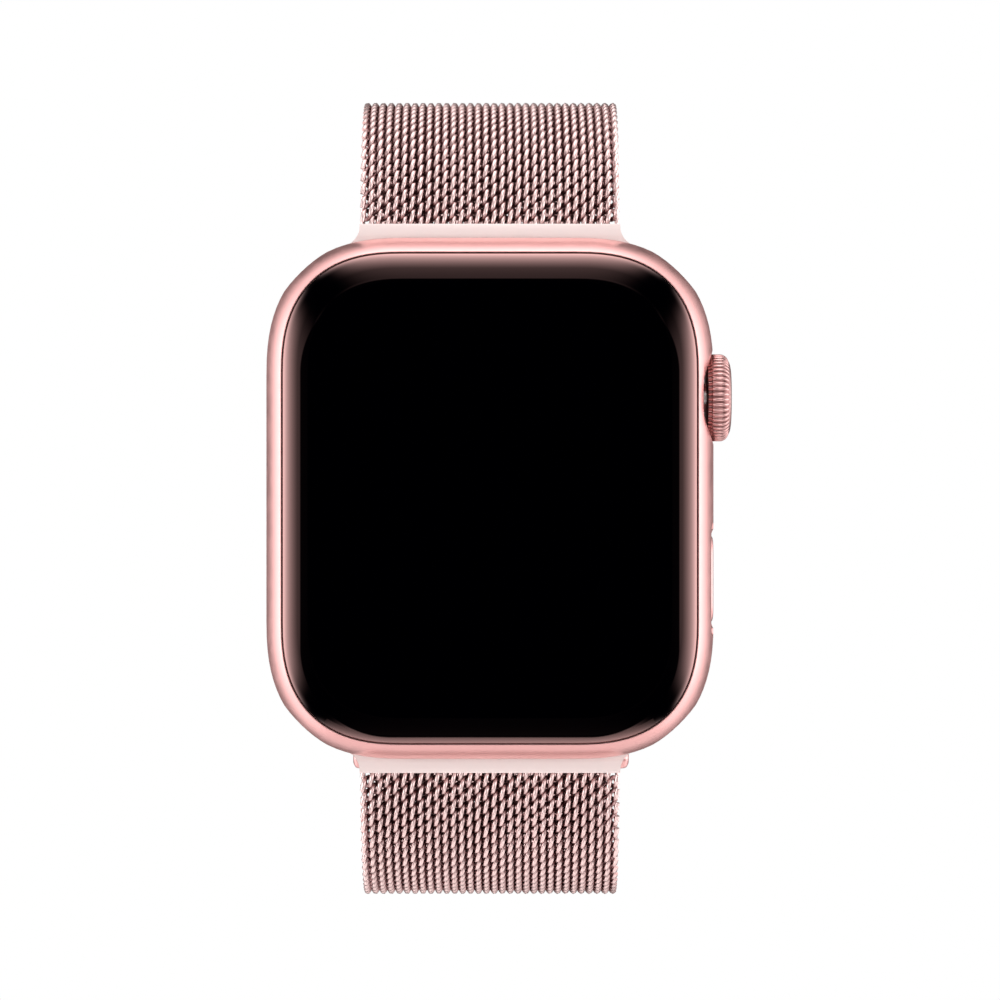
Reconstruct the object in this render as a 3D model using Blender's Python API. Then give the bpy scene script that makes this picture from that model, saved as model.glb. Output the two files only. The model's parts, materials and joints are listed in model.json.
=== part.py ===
"""Square smartwatch on a closed woven-metal loop band.

Frame: origin at the centre of the rear crystal's flat, where the wrist touches it.
+X is the crown side, +Z points to twelve o'clock, -Y is where the display looks.
Units are metres; sizes are written in millimetres times MM.
"""

import math

import bmesh
import bpy
from mathutils import Vector

MM = 0.001

# ---- case ---------------------------------------------------------------------------
CASE_WIDTH = 37.8 * MM
CASE_HEIGHT = 44.1 * MM
CASE_CORNER = 11.7 * MM  # how far each corner's curve reaches along both sides
CORNER_POWER = 2.5  # superellipse exponent: 2 is a circle, more is squarer
FRONT_Y = -10.7 * MM  # flat of the cover glass
SEAM_Y = -9.9 * MM  # where the glass meets the metal
MID_Y = -5.6 * MM  # widest section; crown, button and band channels are centred here
REAR_Y = -1.6 * MM  # flat rear rim of the metal case
SEAM_INSET = 1.46 * MM
FRONT_BULGE = (2.98 * MM, 5.07 * MM)  # semi-axes of the side's curve towards the glass
REAR_BULGE = (3.2 * MM, 4.3 * MM)  # semi-axes of the side's curve towards the wrist
SIDE_WALL = 2.4 * MM
CAVITY_CORNER = 5.0 * MM
CORNER_STEPS = 7

# ---- cover glass and display --------------------------------------------------------
GLASS_GAP = 0.12 * MM
GLASS_EDGE_WIDTH = 2.2 * MM  # width of the curved border
GLASS_LEDGE_Y = -8.9 * MM
GLASS_BACK_Y = -9.7 * MM
DISPLAY_THICK = 0.7 * MM
DISPLAY_INSET = 3.3 * MM
DISPLAY_CORNER = 8.0 * MM
DISPLAY_POCKET_Y = -8.4 * MM
GASKET_THICK = 0.12 * MM
GASKET_WIDTH = 0.6 * MM

# ---- band channels, lugs and their locks --------------------------------------------
CHANNEL_RADIUS = 1.95 * MM
CHANNEL_DEPTH = 2.85 * MM  # from the end of the case in to the channel's axis
CHANNEL_MOUTH = 2.4 * MM
CHANNEL_WALL = 0.75 * MM
LUG_CLEARANCE = 0.3 * MM
LUG_NECK = 1.8 * MM
LUG_REACH = 1.35 * MM  # how far the lug stands out of the case
LUG_FLARE = 2.0 * MM  # how much wider the lug is where it enters the case, each side
DETENT_RADIUS = 0.6 * MM
DETENT_LENGTH = 1.0 * MM
RELEASE_LENGTH = 5.2 * MM
RELEASE_WIDTH = 1.5 * MM
RELEASE_DEPTH = 1.45 * MM
RELEASE_SHIFT = 0.55 * MM  # the button sits this much nearer the middle than the channel
BUTTON_GAP = 0.15 * MM

# ---- rear cover, crystal and sensors ------------------------------------------------
FLOOR_Y = -3.2 * MM
REAR_COVER_INSET = 3.55 * MM
REAR_COVER_CORNER = 9.0 * MM
REAR_COVER_THICK = 0.85 * MM
REAR_COVER_PROUD = 0.35 * MM
COVER_GAP = 0.15 * MM
CRYSTAL_RADIUS = 12.2 * MM
CRYSTAL_FLAT = 5.0 * MM
CRYSTAL_EDGE_Y = -1.2 * MM
CRYSTAL_BACK_Y = -2.1 * MM
CRYSTAL_GAP = 0.2 * MM
COIL_RADII = (9.6 * MM, 11.6 * MM)
COIL_THICK = 0.7 * MM
SENSOR_RADIUS = 9.0 * MM
SENSOR_THICK = 0.9 * MM

# ---- crown --------------------------------------------------------------------------
CROWN_Z = 8.5 * MM
CROWN_RADIUS = 3.68 * MM
CROWN_WIDTH = 2.15 * MM
CROWN_PROUD = 1.5 * MM  # beyond the widest part of the case
CROWN_ROUND = 0.75 * MM
CROWN_TRAVEL = 0.3 * MM
CROWN_WELL_GAP = 0.35 * MM
SHAFT_RADIUS = 1.2 * MM
SHAFT_LENGTH = 6.0 * MM
RUNNING_GAP = 0.1 * MM
BUSH_RADIUS = 2.2 * MM
BUSH_LENGTH = 3.4 * MM
SEAL_THICK = 0.32 * MM
ELECTRODE_RADIUS = 2.5 * MM
ELECTRODE_THICK = 0.35 * MM
PUSH_PLATE = (2.0 * MM, 0.4 * MM)  # radius, thickness
SWITCH_SIZE = (1.3 * MM, 3.6 * MM, 3.6 * MM)

# ---- side button --------------------------------------------------------------------
SIDE_BUTTON_Z = -6.8 * MM
SIDE_BUTTON_LENGTH = 7.4 * MM
SIDE_BUTTON_WIDTH = 3.0 * MM
SIDE_BUTTON_THICK = 0.95 * MM
SIDE_BUTTON_SUNK = 0.05 * MM
SIDE_BUTTON_TRAVEL = 0.35 * MM
SIDE_POCKET_GAP = 0.3 * MM
SIDE_DISH = (0.4 * MM, 0.95 * MM)  # the shallow dish round the button: depth, width
STEM_RADIUS = 0.6 * MM

# ---- side openings ------------------------------------------------------------------
SPEAKER_SLOT = (4.6 * MM, 0.9 * MM)  # length, width
SPEAKER_SPACING = 6.2 * MM
SPEAKER_Z = 1.0 * MM
MIC_RADIUS = 0.45 * MM
MIC_SIZE = (1.2 * MM, 2.4 * MM, 2.2 * MM)
MIC_Z = 1.0 * MM

# ---- inner parts --------------------------------------------------------------------
PART_GAP = 0.35 * MM
BOARD_THICK = 1.2 * MM
MODULE_DEPTH = 2.6 * MM
MOTOR_HEIGHT = 6.0 * MM
SPEAKER_WIDTH = 10.0 * MM
CROWN_BAY = 9.0 * MM  # width kept free beside the wall for the crown's shaft and switch
SWITCH_BAY = 2.6 * MM  # width kept free beside the wall for the side button's switch
SCREW_RADIUS = 0.55 * MM
SCREW_HEAD = 1.0 * MM
SCREW_LENGTH = 1.9 * MM
SCREW_INSET = 1.6 * MM  # from the board's edges

# ---- band ---------------------------------------------------------------------------
BAND_WIDTH = 22.0 * MM
BAND_THICK = 1.6 * MM
BAND_LEAN = 8.0  # degrees that the band leans back where it leaves the lug
BEND_LUG = (11.5 * MM, 60.0)  # radius, and the angle in degrees at which it ends
BEND_TOP = 16.0 * MM
BAND_DEPTH = 47.0 * MM  # rear of the loop, behind the crystal
PIVOT_GAP = 0.3 * MM
PATH_STEPS = 120

# ---- keeper and clasp ---------------------------------------------------------------
KEEPER_BAR = 1.8 * MM
KEEPER_SLOT = 2.7 * MM
KEEPER_SIDE = 1.5 * MM
KEEPER_SIDE_GAP = 0.5 * MM
KEEPER_BEVEL = 0.42 * MM
FOLD_GAP = 0.3 * MM
LAYER_GAP = 0.2 * MM
MERGE_RUN = 9.0 * MM  # length over which the two layers close up beside the keeper
TAIL_LENGTH = 6.2 * MM
CLASP_LENGTH = 10.5 * MM
CLASP_THICK = 2.1 * MM
CLASP_WALL = 0.6 * MM
MAGNET_GAP = 0.3 * MM

ROUND_STEPS = 40
HALF_WIDTH = CASE_WIDTH / 2
HALF_HEIGHT = CASE_HEIGHT / 2


# ---- building blocks ----------------------------------------------------------------
def clear_scene():
    for old in list(bpy.data.objects):
        bpy.data.objects.remove(old)


def finish_material(name, color, roughness, metallic):
    made = bpy.data.materials.new(name)
    made.use_nodes = True
    shader = made.node_tree.nodes["Principled BSDF"]
    shader.inputs["Base Color"].default_value = (*color, 1.0)
    shader.inputs["Roughness"].default_value = roughness
    shader.inputs["Metallic"].default_value = metallic
    made.diffuse_color = (*color, 1.0)
    return made


def add_object(name, shape, finish):
    """Turns a bmesh into an object whose faces point out."""
    bmesh.ops.recalc_face_normals(shape, faces=shape.faces)
    mesh = bpy.data.meshes.new(name)
    shape.to_mesh(mesh)
    shape.free()
    mesh.materials.append(finish)
    mesh.shade_smooth()
    mesh.set_sharp_from_angle(angle=math.radians(35))
    made = bpy.data.objects.new(name, mesh)
    bpy.context.scene.collection.objects.link(made)
    return made


def loft(rings):
    """A closed solid through rings of equal point counts, with flat ends."""
    shape = bmesh.new()
    rows = [[shape.verts.new(p) for p in ring] for ring in rings]
    count = len(rows[0])
    for below, above in zip(rows, rows[1:]):
        for i in range(count):
            j = (i + 1) % count
            shape.faces.new((below[i], below[j], above[j], above[i]))
    shape.faces.new(rows[0])
    shape.faces.new(rows[-1])
    return shape


def revolve(profile, centre, axis, closed=False, steps=ROUND_STEPS):
    """Turns (radius, distance along the axis) points. An open profile gets flat ends."""
    shape = bmesh.new()
    angles = [2 * math.pi * i / steps for i in range(steps)]
    rows = []
    for radius, along in profile:
        row = []
        for angle in angles:
            a, b = radius * math.cos(angle), radius * math.sin(angle)
            point = (along, a, b) if axis == "X" else (a, along, b)
            row.append(shape.verts.new(Vector(point) + Vector(centre)))
        rows.append(row)
    pairs = list(zip(rows, rows[1:])) + ([(rows[-1], rows[0])] if closed else [])
    for first, second in pairs:
        for i in range(steps):
            j = (i + 1) % steps
            shape.faces.new((first[i], first[j], second[j], second[i]))
    if not closed:
        shape.faces.new(rows[0])
        shape.faces.new(rows[-1])
    return shape


def rod(radius, low, high, centre, axis, steps=ROUND_STEPS):
    return revolve([(radius, low), (radius, high)], centre, axis, steps=steps)


def box(low, high):
    ring = [(low[0], low[2]), (high[0], low[2]), (high[0], high[2]), (low[0], high[2])]
    return loft([[(x, y, z) for x, z in ring] for y in (low[1], high[1])])


def rounded_outline(half_x, half_z, corner, steps=CORNER_STEPS):
    """Points around a rectangle whose corners are quarter superellipses."""
    share = 2 / CORNER_POWER
    points = []
    for turn in range(4):
        for i in range(steps + 1):
            a = (turn + i / steps) * math.pi / 2
            c, s = math.cos(a), math.sin(a)
            if abs(c) < 1e-9:
                c = 0.0
            if abs(s) < 1e-9:
                s = 0.0
            sign_x = 1 if turn in (0, 3) else -1
            sign_z = 1 if turn in (0, 1) else -1
            x = sign_x * (half_x - corner + corner * abs(c) ** share)
            z = sign_z * (half_z - corner + corner * abs(s) ** share)
            points.append((x, z))
    return points


def case_outline(inset, y, corner=None):
    if corner is None:
        corner = max(CASE_CORNER - inset, 2 * MM)
    flat = rounded_outline(HALF_WIDTH - inset, HALF_HEIGHT - inset, corner)
    return [(x, y, z) for x, z in flat]


def pill(length, width, steps=6):
    """An outline with round ends, long along its second axis."""
    radius = width / 2
    points = []
    for end in (1, -1):
        for i in range(steps + 1):
            a = math.pi * i / steps
            along = length / 2 - radius + radius * math.sin(a)
            points.append((end * radius * math.cos(a), end * along))
    return points


def subtract(target, cutter):
    """Cuts with a helper object, which stays in the scene as a hidden guide."""
    cutter.hide_render = True
    cutter.display_type = "WIRE"
    step = target.modifiers.new("cut " + cutter.name, "BOOLEAN")
    step.operation = "DIFFERENCE"
    step.object = cutter


def combine(target, helper, operation):
    helper.hide_render = True
    helper.display_type = "WIRE"
    step = target.modifiers.new(operation.lower() + " " + helper.name, "BOOLEAN")
    step.operation = operation
    step.object = helper


def soften(target, width, segments=2):
    step = target.modifiers.new("soft edges", "BEVEL")
    step.width = width
    step.segments = segments
    step.limit_method = "ANGLE"
    step.angle_limit = math.radians(40)


# ---- finishes -----------------------------------------------------------------------
def make_finishes():
    return {
        "case_metal": finish_material("anodised_pink", (0.83, 0.50, 0.48), 0.35, 1.0),
        "mesh_metal": finish_material("woven_steel_pink", (0.80, 0.47, 0.45), 0.3, 1.0),
        "glass": finish_material("black_glass", (0.004, 0.004, 0.006), 0.05, 0.0),
        "screen": finish_material("display_black", (0.01, 0.01, 0.012), 0.4, 0.0),
        "ceramic": finish_material("rear_ceramic", (0.02, 0.02, 0.022), 0.2, 0.0),
        "crystal": finish_material("rear_crystal", (0.03, 0.03, 0.035), 0.05, 0.0),
        "rubber": finish_material("seal_rubber", (0.02, 0.02, 0.02), 0.8, 0.0),
        "steel": finish_material("plain_steel", (0.55, 0.55, 0.56), 0.3, 1.0),
        "board": finish_material("circuit_board", (0.01, 0.06, 0.03), 0.5, 0.0),
        "cell": finish_material("battery_wrap", (0.03, 0.03, 0.035), 0.5, 0.0),
        "copper": finish_material("copper_winding", (0.72, 0.35, 0.2), 0.35, 1.0),
        "magnet": finish_material("magnet_nickel", (0.6, 0.6, 0.6), 0.25, 1.0),
        "plastic": finish_material("black_plastic", (0.02, 0.02, 0.02), 0.5, 0.0),
    }


# ---- case ---------------------------------------------------------------------------
def side_inset(y):
    """How far the case's side stands in from its widest outline at depth y."""
    reach, height = FRONT_BULGE if y < MID_Y else REAR_BULGE
    t = (y - MID_Y) / height
    return reach * (1 - math.sqrt(1 - t * t))


def case_rings(extra=0.0):
    levels = 4
    shares = [math.sin(math.pi / 2 * i / levels) for i in range(levels + 1)]
    front = [MID_Y + (SEAM_Y - MID_Y) * share for share in reversed(shares[1:])]
    rear = [MID_Y + (REAR_Y - MID_Y) * share for share in shares]
    return [case_outline(side_inset(y) + extra, y) for y in front + rear]


def cavity_half_height():
    return HALF_HEIGHT - CHANNEL_DEPTH - CHANNEL_RADIUS - CHANNEL_WALL


def cavity_half_width():
    return HALF_WIDTH - SIDE_WALL


def flat_pocket(name, half_x, half_z, corner, levels, finish):
    flat = rounded_outline(half_x, half_z, corner, 5)
    return add_object(name, loft([[(x, y, z) for x, z in flat] for y in levels]), finish)


def channel_z(side):
    return side * (HALF_HEIGHT - CHANNEL_DEPTH)


def build_case(finish):
    case = add_object("case", loft(case_rings()), finish)
    past = 2 * MM
    pocket = [case_outline(SEAM_INSET, y) for y in (SEAM_Y - past, GLASS_LEDGE_Y)]
    subtract(case, add_object("cut_glass_pocket", loft(pocket), finish))
    half_x, half_z = cavity_half_width(), cavity_half_height()
    over_channel = HALF_HEIGHT - DISPLAY_INSET + PART_GAP
    levels = (GLASS_LEDGE_Y - past, DISPLAY_POCKET_Y)
    subtract(case, flat_pocket("cut_display", half_x, over_channel, DISPLAY_CORNER, levels, finish))
    levels = (DISPLAY_POCKET_Y - past / 4, FLOOR_Y)
    subtract(case, flat_pocket("cut_cavity", half_x, half_z, CAVITY_CORNER, levels, finish))
    cover_x, cover_z = rear_cover_size()
    recess_y = REAR_Y + REAR_COVER_PROUD - REAR_COVER_THICK - COVER_GAP
    cover_x, cover_z = cover_x + COVER_GAP, cover_z + COVER_GAP
    levels = (recess_y, REAR_Y + past)
    subtract(case, flat_pocket("cut_rear_recess", cover_x, cover_z, REAR_COVER_CORNER, levels, finish))
    hole = rod(CRYSTAL_RADIUS + CRYSTAL_GAP, FLOOR_Y - past, REAR_Y + past, (0, 0, 0), "Y")
    subtract(case, add_object("cut_rear_hole", hole, finish))
    for side, label in ((1, "upper"), (-1, "lower")):
        cut_channel(case, side, label, finish)
        cut_release_hole(case, side, label, finish)
    cut_crown_well(case, finish)
    cut_side_button_pocket(case, finish)
    cut_sound_holes(case, finish)
    return case


def cut_channel(case, side, label, finish):
    reach = HALF_WIDTH + 4 * MM
    bore = rod(CHANNEL_RADIUS, -reach, reach, (0, MID_Y, channel_z(side)), "X", steps=24)
    subtract(case, add_object(f"cut_{label}_channel", bore, finish))
    outer = side * (HALF_HEIGHT + 3 * MM)
    low, high = sorted((channel_z(side), outer))
    mouth = box((-reach, MID_Y - CHANNEL_MOUTH / 2, low), (reach, MID_Y + CHANNEL_MOUTH / 2, high))
    subtract(case, add_object(f"cut_{label}_mouth", mouth, finish))


def release_z(side):
    return channel_z(side) - side * RELEASE_SHIFT


def release_outline(side, grow=0.0):
    flat = pill(RELEASE_LENGTH + 2 * grow, RELEASE_WIDTH + 2 * grow)
    return [(along, across + release_z(side)) for across, along in flat]


def cut_release_hole(case, side, label, finish):
    flat = release_outline(side, BUTTON_GAP)
    rings = [[(x, y, z) for x, z in flat] for y in (MID_Y + CHANNEL_RADIUS / 2, REAR_Y + 1 * MM)]
    subtract(case, add_object(f"cut_{label}_release", loft(rings), finish))


def crown_face_x():
    """Inner face of the crown's knob."""
    return HALF_WIDTH + CROWN_PROUD - CROWN_WIDTH


def crown_well_x():
    return crown_face_x() - CROWN_TRAVEL - LAYER_GAP


def cut_crown_well(case, finish):
    centre = (0, MID_Y, CROWN_Z)
    well_x, far = crown_well_x(), HALF_WIDTH + 3 * MM
    radius = CROWN_RADIUS + CROWN_WELL_GAP
    subtract(case, add_object("cut_crown_well", rod(radius, well_x, far, centre, "X"), finish))
    inner = cavity_half_width() - 1 * MM
    subtract(case, add_object("cut_crown_bore", rod(BUSH_RADIUS, inner, far, centre, "X"), finish))


def side_button_face_x():
    return HALF_WIDTH - SIDE_BUTTON_SUNK


def side_pocket_x():
    return side_button_face_x() - SIDE_BUTTON_THICK - SIDE_BUTTON_TRAVEL - LAYER_GAP


def side_button_ring(x, shrink=0.0):
    flat = pill(SIDE_BUTTON_LENGTH - 2 * shrink, SIDE_BUTTON_WIDTH - 2 * shrink)
    return [(x, MID_Y + across, SIDE_BUTTON_Z + along) for across, along in flat]


def cut_side_button_pocket(case, finish):
    gap = SIDE_POCKET_GAP
    depth, width = SIDE_DISH
    dish = side_button_face_x() - depth
    rings = [side_button_ring(side_pocket_x(), -gap), side_button_ring(dish, -gap)]
    rings += [side_button_ring(dish + depth / 2, -gap - width)]
    rings += [side_button_ring(HALF_WIDTH + 0.5 * MM, -gap - width - 0.1 * MM)]
    subtract(case, add_object("cut_side_pocket", loft(rings), finish))
    centre = (0, MID_Y, SIDE_BUTTON_Z)
    inner = cavity_half_width() - 1 * MM
    hole = rod(STEM_RADIUS + BUTTON_GAP, inner, HALF_WIDTH, centre, "X", steps=20)
    subtract(case, add_object("cut_side_stem", hole, finish))


def cut_sound_holes(case, finish):
    outer, inner = HALF_WIDTH + 1 * MM, cavity_half_width() - 1 * MM
    for i, offset in enumerate((-0.5, 0.5)):
        flat = pill(*SPEAKER_SLOT)
        centre_z = SPEAKER_Z + offset * SPEAKER_SPACING
        rings = [[(x, MID_Y + a, centre_z + b) for a, b in flat] for x in (-outer, -inner)]
        subtract(case, add_object(f"cut_speaker_slot_{i}", loft(rings), finish))
    hole = rod(MIC_RADIUS, inner, outer, (0, MID_Y, MIC_Z), "X", steps=16)
    subtract(case, add_object("cut_mic_hole", hole, finish))


# ---- cover glass and display --------------------------------------------------------
def build_front(finishes):
    rim = SEAM_INSET + GLASS_GAP
    rise = SEAM_Y - FRONT_Y
    steps = 5
    under = GLASS_LEDGE_Y - PART_GAP
    rings = [case_outline(rim + 0.5 * MM, under), case_outline(rim, under - 0.1 * MM)]
    start = math.radians(27)
    spread = 1 - math.sin(start)
    for i in range(steps + 1):
        a = start + (math.pi / 2 - start) * i / steps
        inward = GLASS_EDGE_WIDTH * (1 - math.cos(a) / math.cos(start))
        lift = rise * (math.sin(a) - math.sin(start)) / spread
        rings.append(case_outline(rim + inward, SEAM_Y - lift))
    glass = add_object("front_glass", loft(rings), finishes["glass"])
    half_x, half_z = HALF_WIDTH - DISPLAY_INSET, HALF_HEIGHT - DISPLAY_INSET
    levels = (GLASS_BACK_Y, SEAM_Y + 3 * MM)
    hollow = (half_x + PART_GAP, half_z + PART_GAP, DISPLAY_CORNER, levels, finishes["glass"])
    subtract(glass, flat_pocket("cut_glass_back", *hollow))
    top = GLASS_BACK_Y + PART_GAP / 2
    levels = (top, top + DISPLAY_THICK)
    flat_pocket("display_panel", half_x, half_z, DISPLAY_CORNER, levels, finishes["screen"])
    build_gasket(finishes["rubber"])


def build_gasket(finish):
    y_low = GLASS_LEDGE_Y - 0.08 * MM - GASKET_THICK
    outer = [case_outline(SEAM_INSET + 0.25 * MM, y) for y in (y_low, y_low + GASKET_THICK)]
    gasket = add_object("glass_gasket", loft(outer), finish)
    inset = SEAM_INSET + 0.25 * MM + GASKET_WIDTH
    inner = [case_outline(inset, y) for y in (y_low - 1 * MM, y_low + 1 * MM)]
    subtract(gasket, add_object("cut_gasket", loft(inner), finish))


# ---- rear ---------------------------------------------------------------------------
def rear_cover_size():
    return HALF_WIDTH - REAR_COVER_INSET, cavity_half_height() + 0.15 * MM


def build_rear(finishes):
    half_x, half_z = rear_cover_size()
    outer_y = REAR_Y + REAR_COVER_PROUD
    inner_y = outer_y - REAR_COVER_THICK
    edge = 0.3 * MM
    rings = []
    for y, inset in ((inner_y, 0), (outer_y - edge, 0), (outer_y - edge / 4, edge / 2), (outer_y, edge)):
        flat = rounded_outline(half_x - inset, half_z - inset, REAR_COVER_CORNER)
        rings.append([(x, y, z) for x, z in flat])
    cover = add_object("rear_cover", loft(rings), finishes["ceramic"])
    hole = rod(CRYSTAL_RADIUS + CRYSTAL_GAP, inner_y - 1 * MM, outer_y + 1 * MM, (0, 0, 0), "Y")
    subtract(cover, add_object("cut_crystal_hole", hole, finishes["ceramic"]))

    dome = [(CRYSTAL_RADIUS, CRYSTAL_BACK_Y)]
    steps = 6
    for i in range(steps + 1):
        t = 1 - i / steps
        radius = CRYSTAL_FLAT + (CRYSTAL_RADIUS - CRYSTAL_FLAT) * t
        dome.append((radius, CRYSTAL_EDGE_Y * t * t))
    add_object("rear_crystal", revolve(dome, (0, 0, 0), "Y"), finishes["crystal"])

    top = CRYSTAL_BACK_Y - COVER_GAP
    near, far = COIL_RADII
    ring = [(near, top - COIL_THICK), (far, top - COIL_THICK), (far, top), (near, top)]
    add_object("charging_coil", revolve(ring, (0, 0, 0), "Y", closed=True), finishes["copper"])
    disc = rod(SENSOR_RADIUS, top - SENSOR_THICK, top, (0, 0, 0), "Y")
    add_object("sensor_module", disc, finishes["board"])


def build_release_button(side, label, finish):
    outer_y = REAR_Y - 0.05 * MM
    flat, small = release_outline(side), release_outline(side, -0.12 * MM)
    levels = ((outer_y - RELEASE_DEPTH, flat), (outer_y - 0.12 * MM, flat), (outer_y, small))
    rings = [[(x, y, z) for x, z in ring] for y, ring in levels]
    add_object(f"{label}_release_button", loft(rings), finish)


# ---- crown --------------------------------------------------------------------------
def build_crown(finishes):
    centre = (0, MID_Y, CROWN_Z)
    face = crown_face_x()
    end = face + CROWN_WIDTH
    shaft_end = face + 0.9 * MM
    socket = SHAFT_RADIUS + 0.05 * MM
    knob = [(socket, shaft_end + 0.1 * MM), (socket, face)]
    knob += [(CROWN_RADIUS - 0.35 * MM, face), (CROWN_RADIUS, face + 0.35 * MM)]
    for i in range(5):
        a = math.pi / 2 * i / 4
        inward, back = CROWN_ROUND * (1 - math.cos(a)), CROWN_ROUND * (1 - math.sin(a))
        knob.append((CROWN_RADIUS - inward, end - back))
    seat = ELECTRODE_RADIUS + 0.1 * MM
    floor = end - ELECTRODE_THICK - 0.05 * MM
    knob += [(seat, end), (seat, floor)]
    add_object("crown_knob", revolve(knob, centre, "X"), finishes["case_metal"])
    cap = rod(ELECTRODE_RADIUS, floor + 0.05 * MM, end, centre, "X")
    add_object("crown_electrode", cap, finishes["steel"])

    shaft_in = shaft_end - SHAFT_LENGTH
    flange = SHAFT_RADIUS + 0.5 * MM
    shaft = [(flange, shaft_in), (flange, shaft_in + 0.5 * MM)]
    shaft += [(SHAFT_RADIUS, shaft_in + 0.5 * MM), (SHAFT_RADIUS, shaft_end)]
    add_object("crown_shaft", revolve(shaft, centre, "X"), finishes["steel"])

    bush_out = crown_well_x() - 0.2 * MM
    bush_in = bush_out - BUSH_LENGTH
    outer, inner = BUSH_RADIUS - 0.1 * MM, SHAFT_RADIUS + RUNNING_GAP
    counter = inner + SEAL_THICK + 0.15 * MM
    depth = bush_out - 0.7 * MM
    bush = [(outer, bush_in), (outer, bush_out), (counter, bush_out)]
    bush += [(counter, depth), (inner, depth), (inner, bush_in)]
    add_object("crown_bush", revolve(bush, centre, "X", closed=True), finishes["plastic"])
    middle = (depth + bush_out) / 2
    ring_radius = SHAFT_RADIUS + 0.08 * MM + SEAL_THICK / 2
    seal = []
    for i in range(10):
        a = 2 * math.pi * i / 10
        out, along = SEAL_THICK / 2 * math.cos(a), SEAL_THICK / 2 * math.sin(a)
        seal.append((ring_radius + out, middle + along))
    add_object("crown_seal", revolve(seal, centre, "X", closed=True), finishes["rubber"])

    plate_x = shaft_in - 0.1 * MM
    radius, thick = PUSH_PLATE
    plate = rod(radius, plate_x - thick, plate_x, centre, "X")
    add_object("crown_push_plate", plate, finishes["steel"])
    switch_x = plate_x - thick - CROWN_TRAVEL - 0.1 * MM
    sx, sy, sz = SWITCH_SIZE
    low = (switch_x - sx, MID_Y - sy / 2, CROWN_Z - sz / 2)
    high = (switch_x, MID_Y + sy / 2, CROWN_Z + sz / 2)
    add_object("crown_switch", box(low, high), finishes["plastic"])


# ---- side button --------------------------------------------------------------------
def build_side_button(finishes):
    face = side_button_face_x()
    inner = face - SIDE_BUTTON_THICK
    rings = [side_button_ring(inner), side_button_ring(face - 0.25 * MM)]
    rings += [side_button_ring(face - 0.06 * MM, 0.15 * MM), side_button_ring(face, 0.4 * MM)]
    button = add_object("side_button", loft(rings), finishes["case_metal"])
    centre = (0, MID_Y, SIDE_BUTTON_Z)
    stem_in = cavity_half_width() - 0.3 * MM
    stem = rod(STEM_RADIUS, stem_in, face - SIDE_BUTTON_THICK / 2, centre, "X", steps=20)
    combine(button, add_object("helper_stem", stem, finishes["case_metal"]), "UNION")
    switch_x = stem_in - SIDE_BUTTON_TRAVEL - 0.15 * MM
    thick = SWITCH_BAY - SIDE_BUTTON_TRAVEL - 0.15 * MM - 0.3 * MM - PART_GAP
    low = (switch_x - thick, MID_Y - 1.4 * MM, SIDE_BUTTON_Z - 2.4 * MM)
    high = (switch_x, MID_Y + 1.4 * MM, SIDE_BUTTON_Z + 2.4 * MM)
    add_object("side_button_switch", box(low, high), finishes["plastic"])


# ---- inner parts --------------------------------------------------------------------
def build_inner_parts(finishes):
    half_x = cavity_half_width() - PART_GAP
    half_z = cavity_half_height() - PART_GAP
    front = GLASS_BACK_Y + PART_GAP / 2 + DISPLAY_THICK + PART_GAP
    rear = FLOOR_Y - PART_GAP
    middle_z = CROWN_Z - CROWN_RADIUS - 3.2 * MM  # the cell ends below the crown's bay

    levels = (front - 1 * MM, rear + 1 * MM)
    room = flat_pocket("helper_room", half_x, half_z, CAVITY_CORNER - PART_GAP, levels, finishes["plastic"])

    def block(name, low, high, finish, edge=0.4 * MM):
        made = add_object(name, box(low, high), finishes[finish])
        combine(made, room, "INTERSECT")
        if edge:
            soften(made, edge)
        return made

    cell_low, cell_high = (-half_x, front + 0.3 * MM, -half_z), (half_x - SWITCH_BAY, rear, middle_z)
    block("battery", cell_low, cell_high, "cell", 0.8 * MM)
    bay = half_x - CROWN_BAY
    board_rear = front + BOARD_THICK
    board_low, board_high = (-half_x, front, middle_z + PART_GAP), (bay, board_rear, half_z)
    board = block("logic_board", board_low, board_high, "board", edge=0)
    high_z, low_z = half_z - SCREW_INSET - 1 * MM, middle_z + PART_GAP + SCREW_INSET
    left_x, right_x = -half_x + SCREW_INSET, bay - SCREW_INSET
    holes = [(left_x + 1 * MM, high_z), (right_x, high_z), (left_x, low_z), (right_x, low_z)]
    for i, (x, z) in enumerate(holes, 1):
        radius = SCREW_RADIUS + 0.12 * MM
        hole = rod(radius, front - 1 * MM, board_rear + 1 * MM, (x, 0, z), "Y", steps=16)
        subtract(board, add_object(f"cut_board_{i}", hole, finishes["board"]))
        build_screw(i, x, z, front, finishes["steel"])
    part_front = front + SCREW_LENGTH + PART_GAP
    block("haptic_motor", (-half_x, part_front, half_z - MOTOR_HEIGHT), (bay, rear, half_z), "steel")
    top = half_z - MOTOR_HEIGHT - PART_GAP
    speaker_high = (-half_x + SPEAKER_WIDTH, rear, top)
    block("speaker", (-half_x, part_front, middle_z + PART_GAP), speaker_high, "plastic")
    sip_low = (-half_x + SPEAKER_WIDTH + PART_GAP, part_front, middle_z + PART_GAP)
    block("system_module", sip_low, (bay, rear, top), "cell", 0.25 * MM)
    mic_x = cavity_half_width() - PART_GAP
    depth, width, height = MIC_SIZE
    mic_low = (mic_x - depth, MID_Y - width / 2, MIC_Z - height / 2)
    mic_high = (mic_x, MID_Y + width / 2, MIC_Z + height / 2)
    add_object("microphone", box(mic_low, mic_high), finishes["steel"])


def build_screw(number, x, z, front, finish):
    """A pan-head screw through the board, head towards the display."""
    head_y = front - 0.1 * MM
    screw = [(SCREW_HEAD * 0.7, head_y - 0.2 * MM), (SCREW_HEAD, head_y)]
    screw += [(SCREW_RADIUS, head_y), (SCREW_RADIUS, head_y + SCREW_LENGTH)]
    add_object(f"board_screw_{number}", revolve(screw, (x, 0, z), "Y", steps=16), finish)


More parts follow.
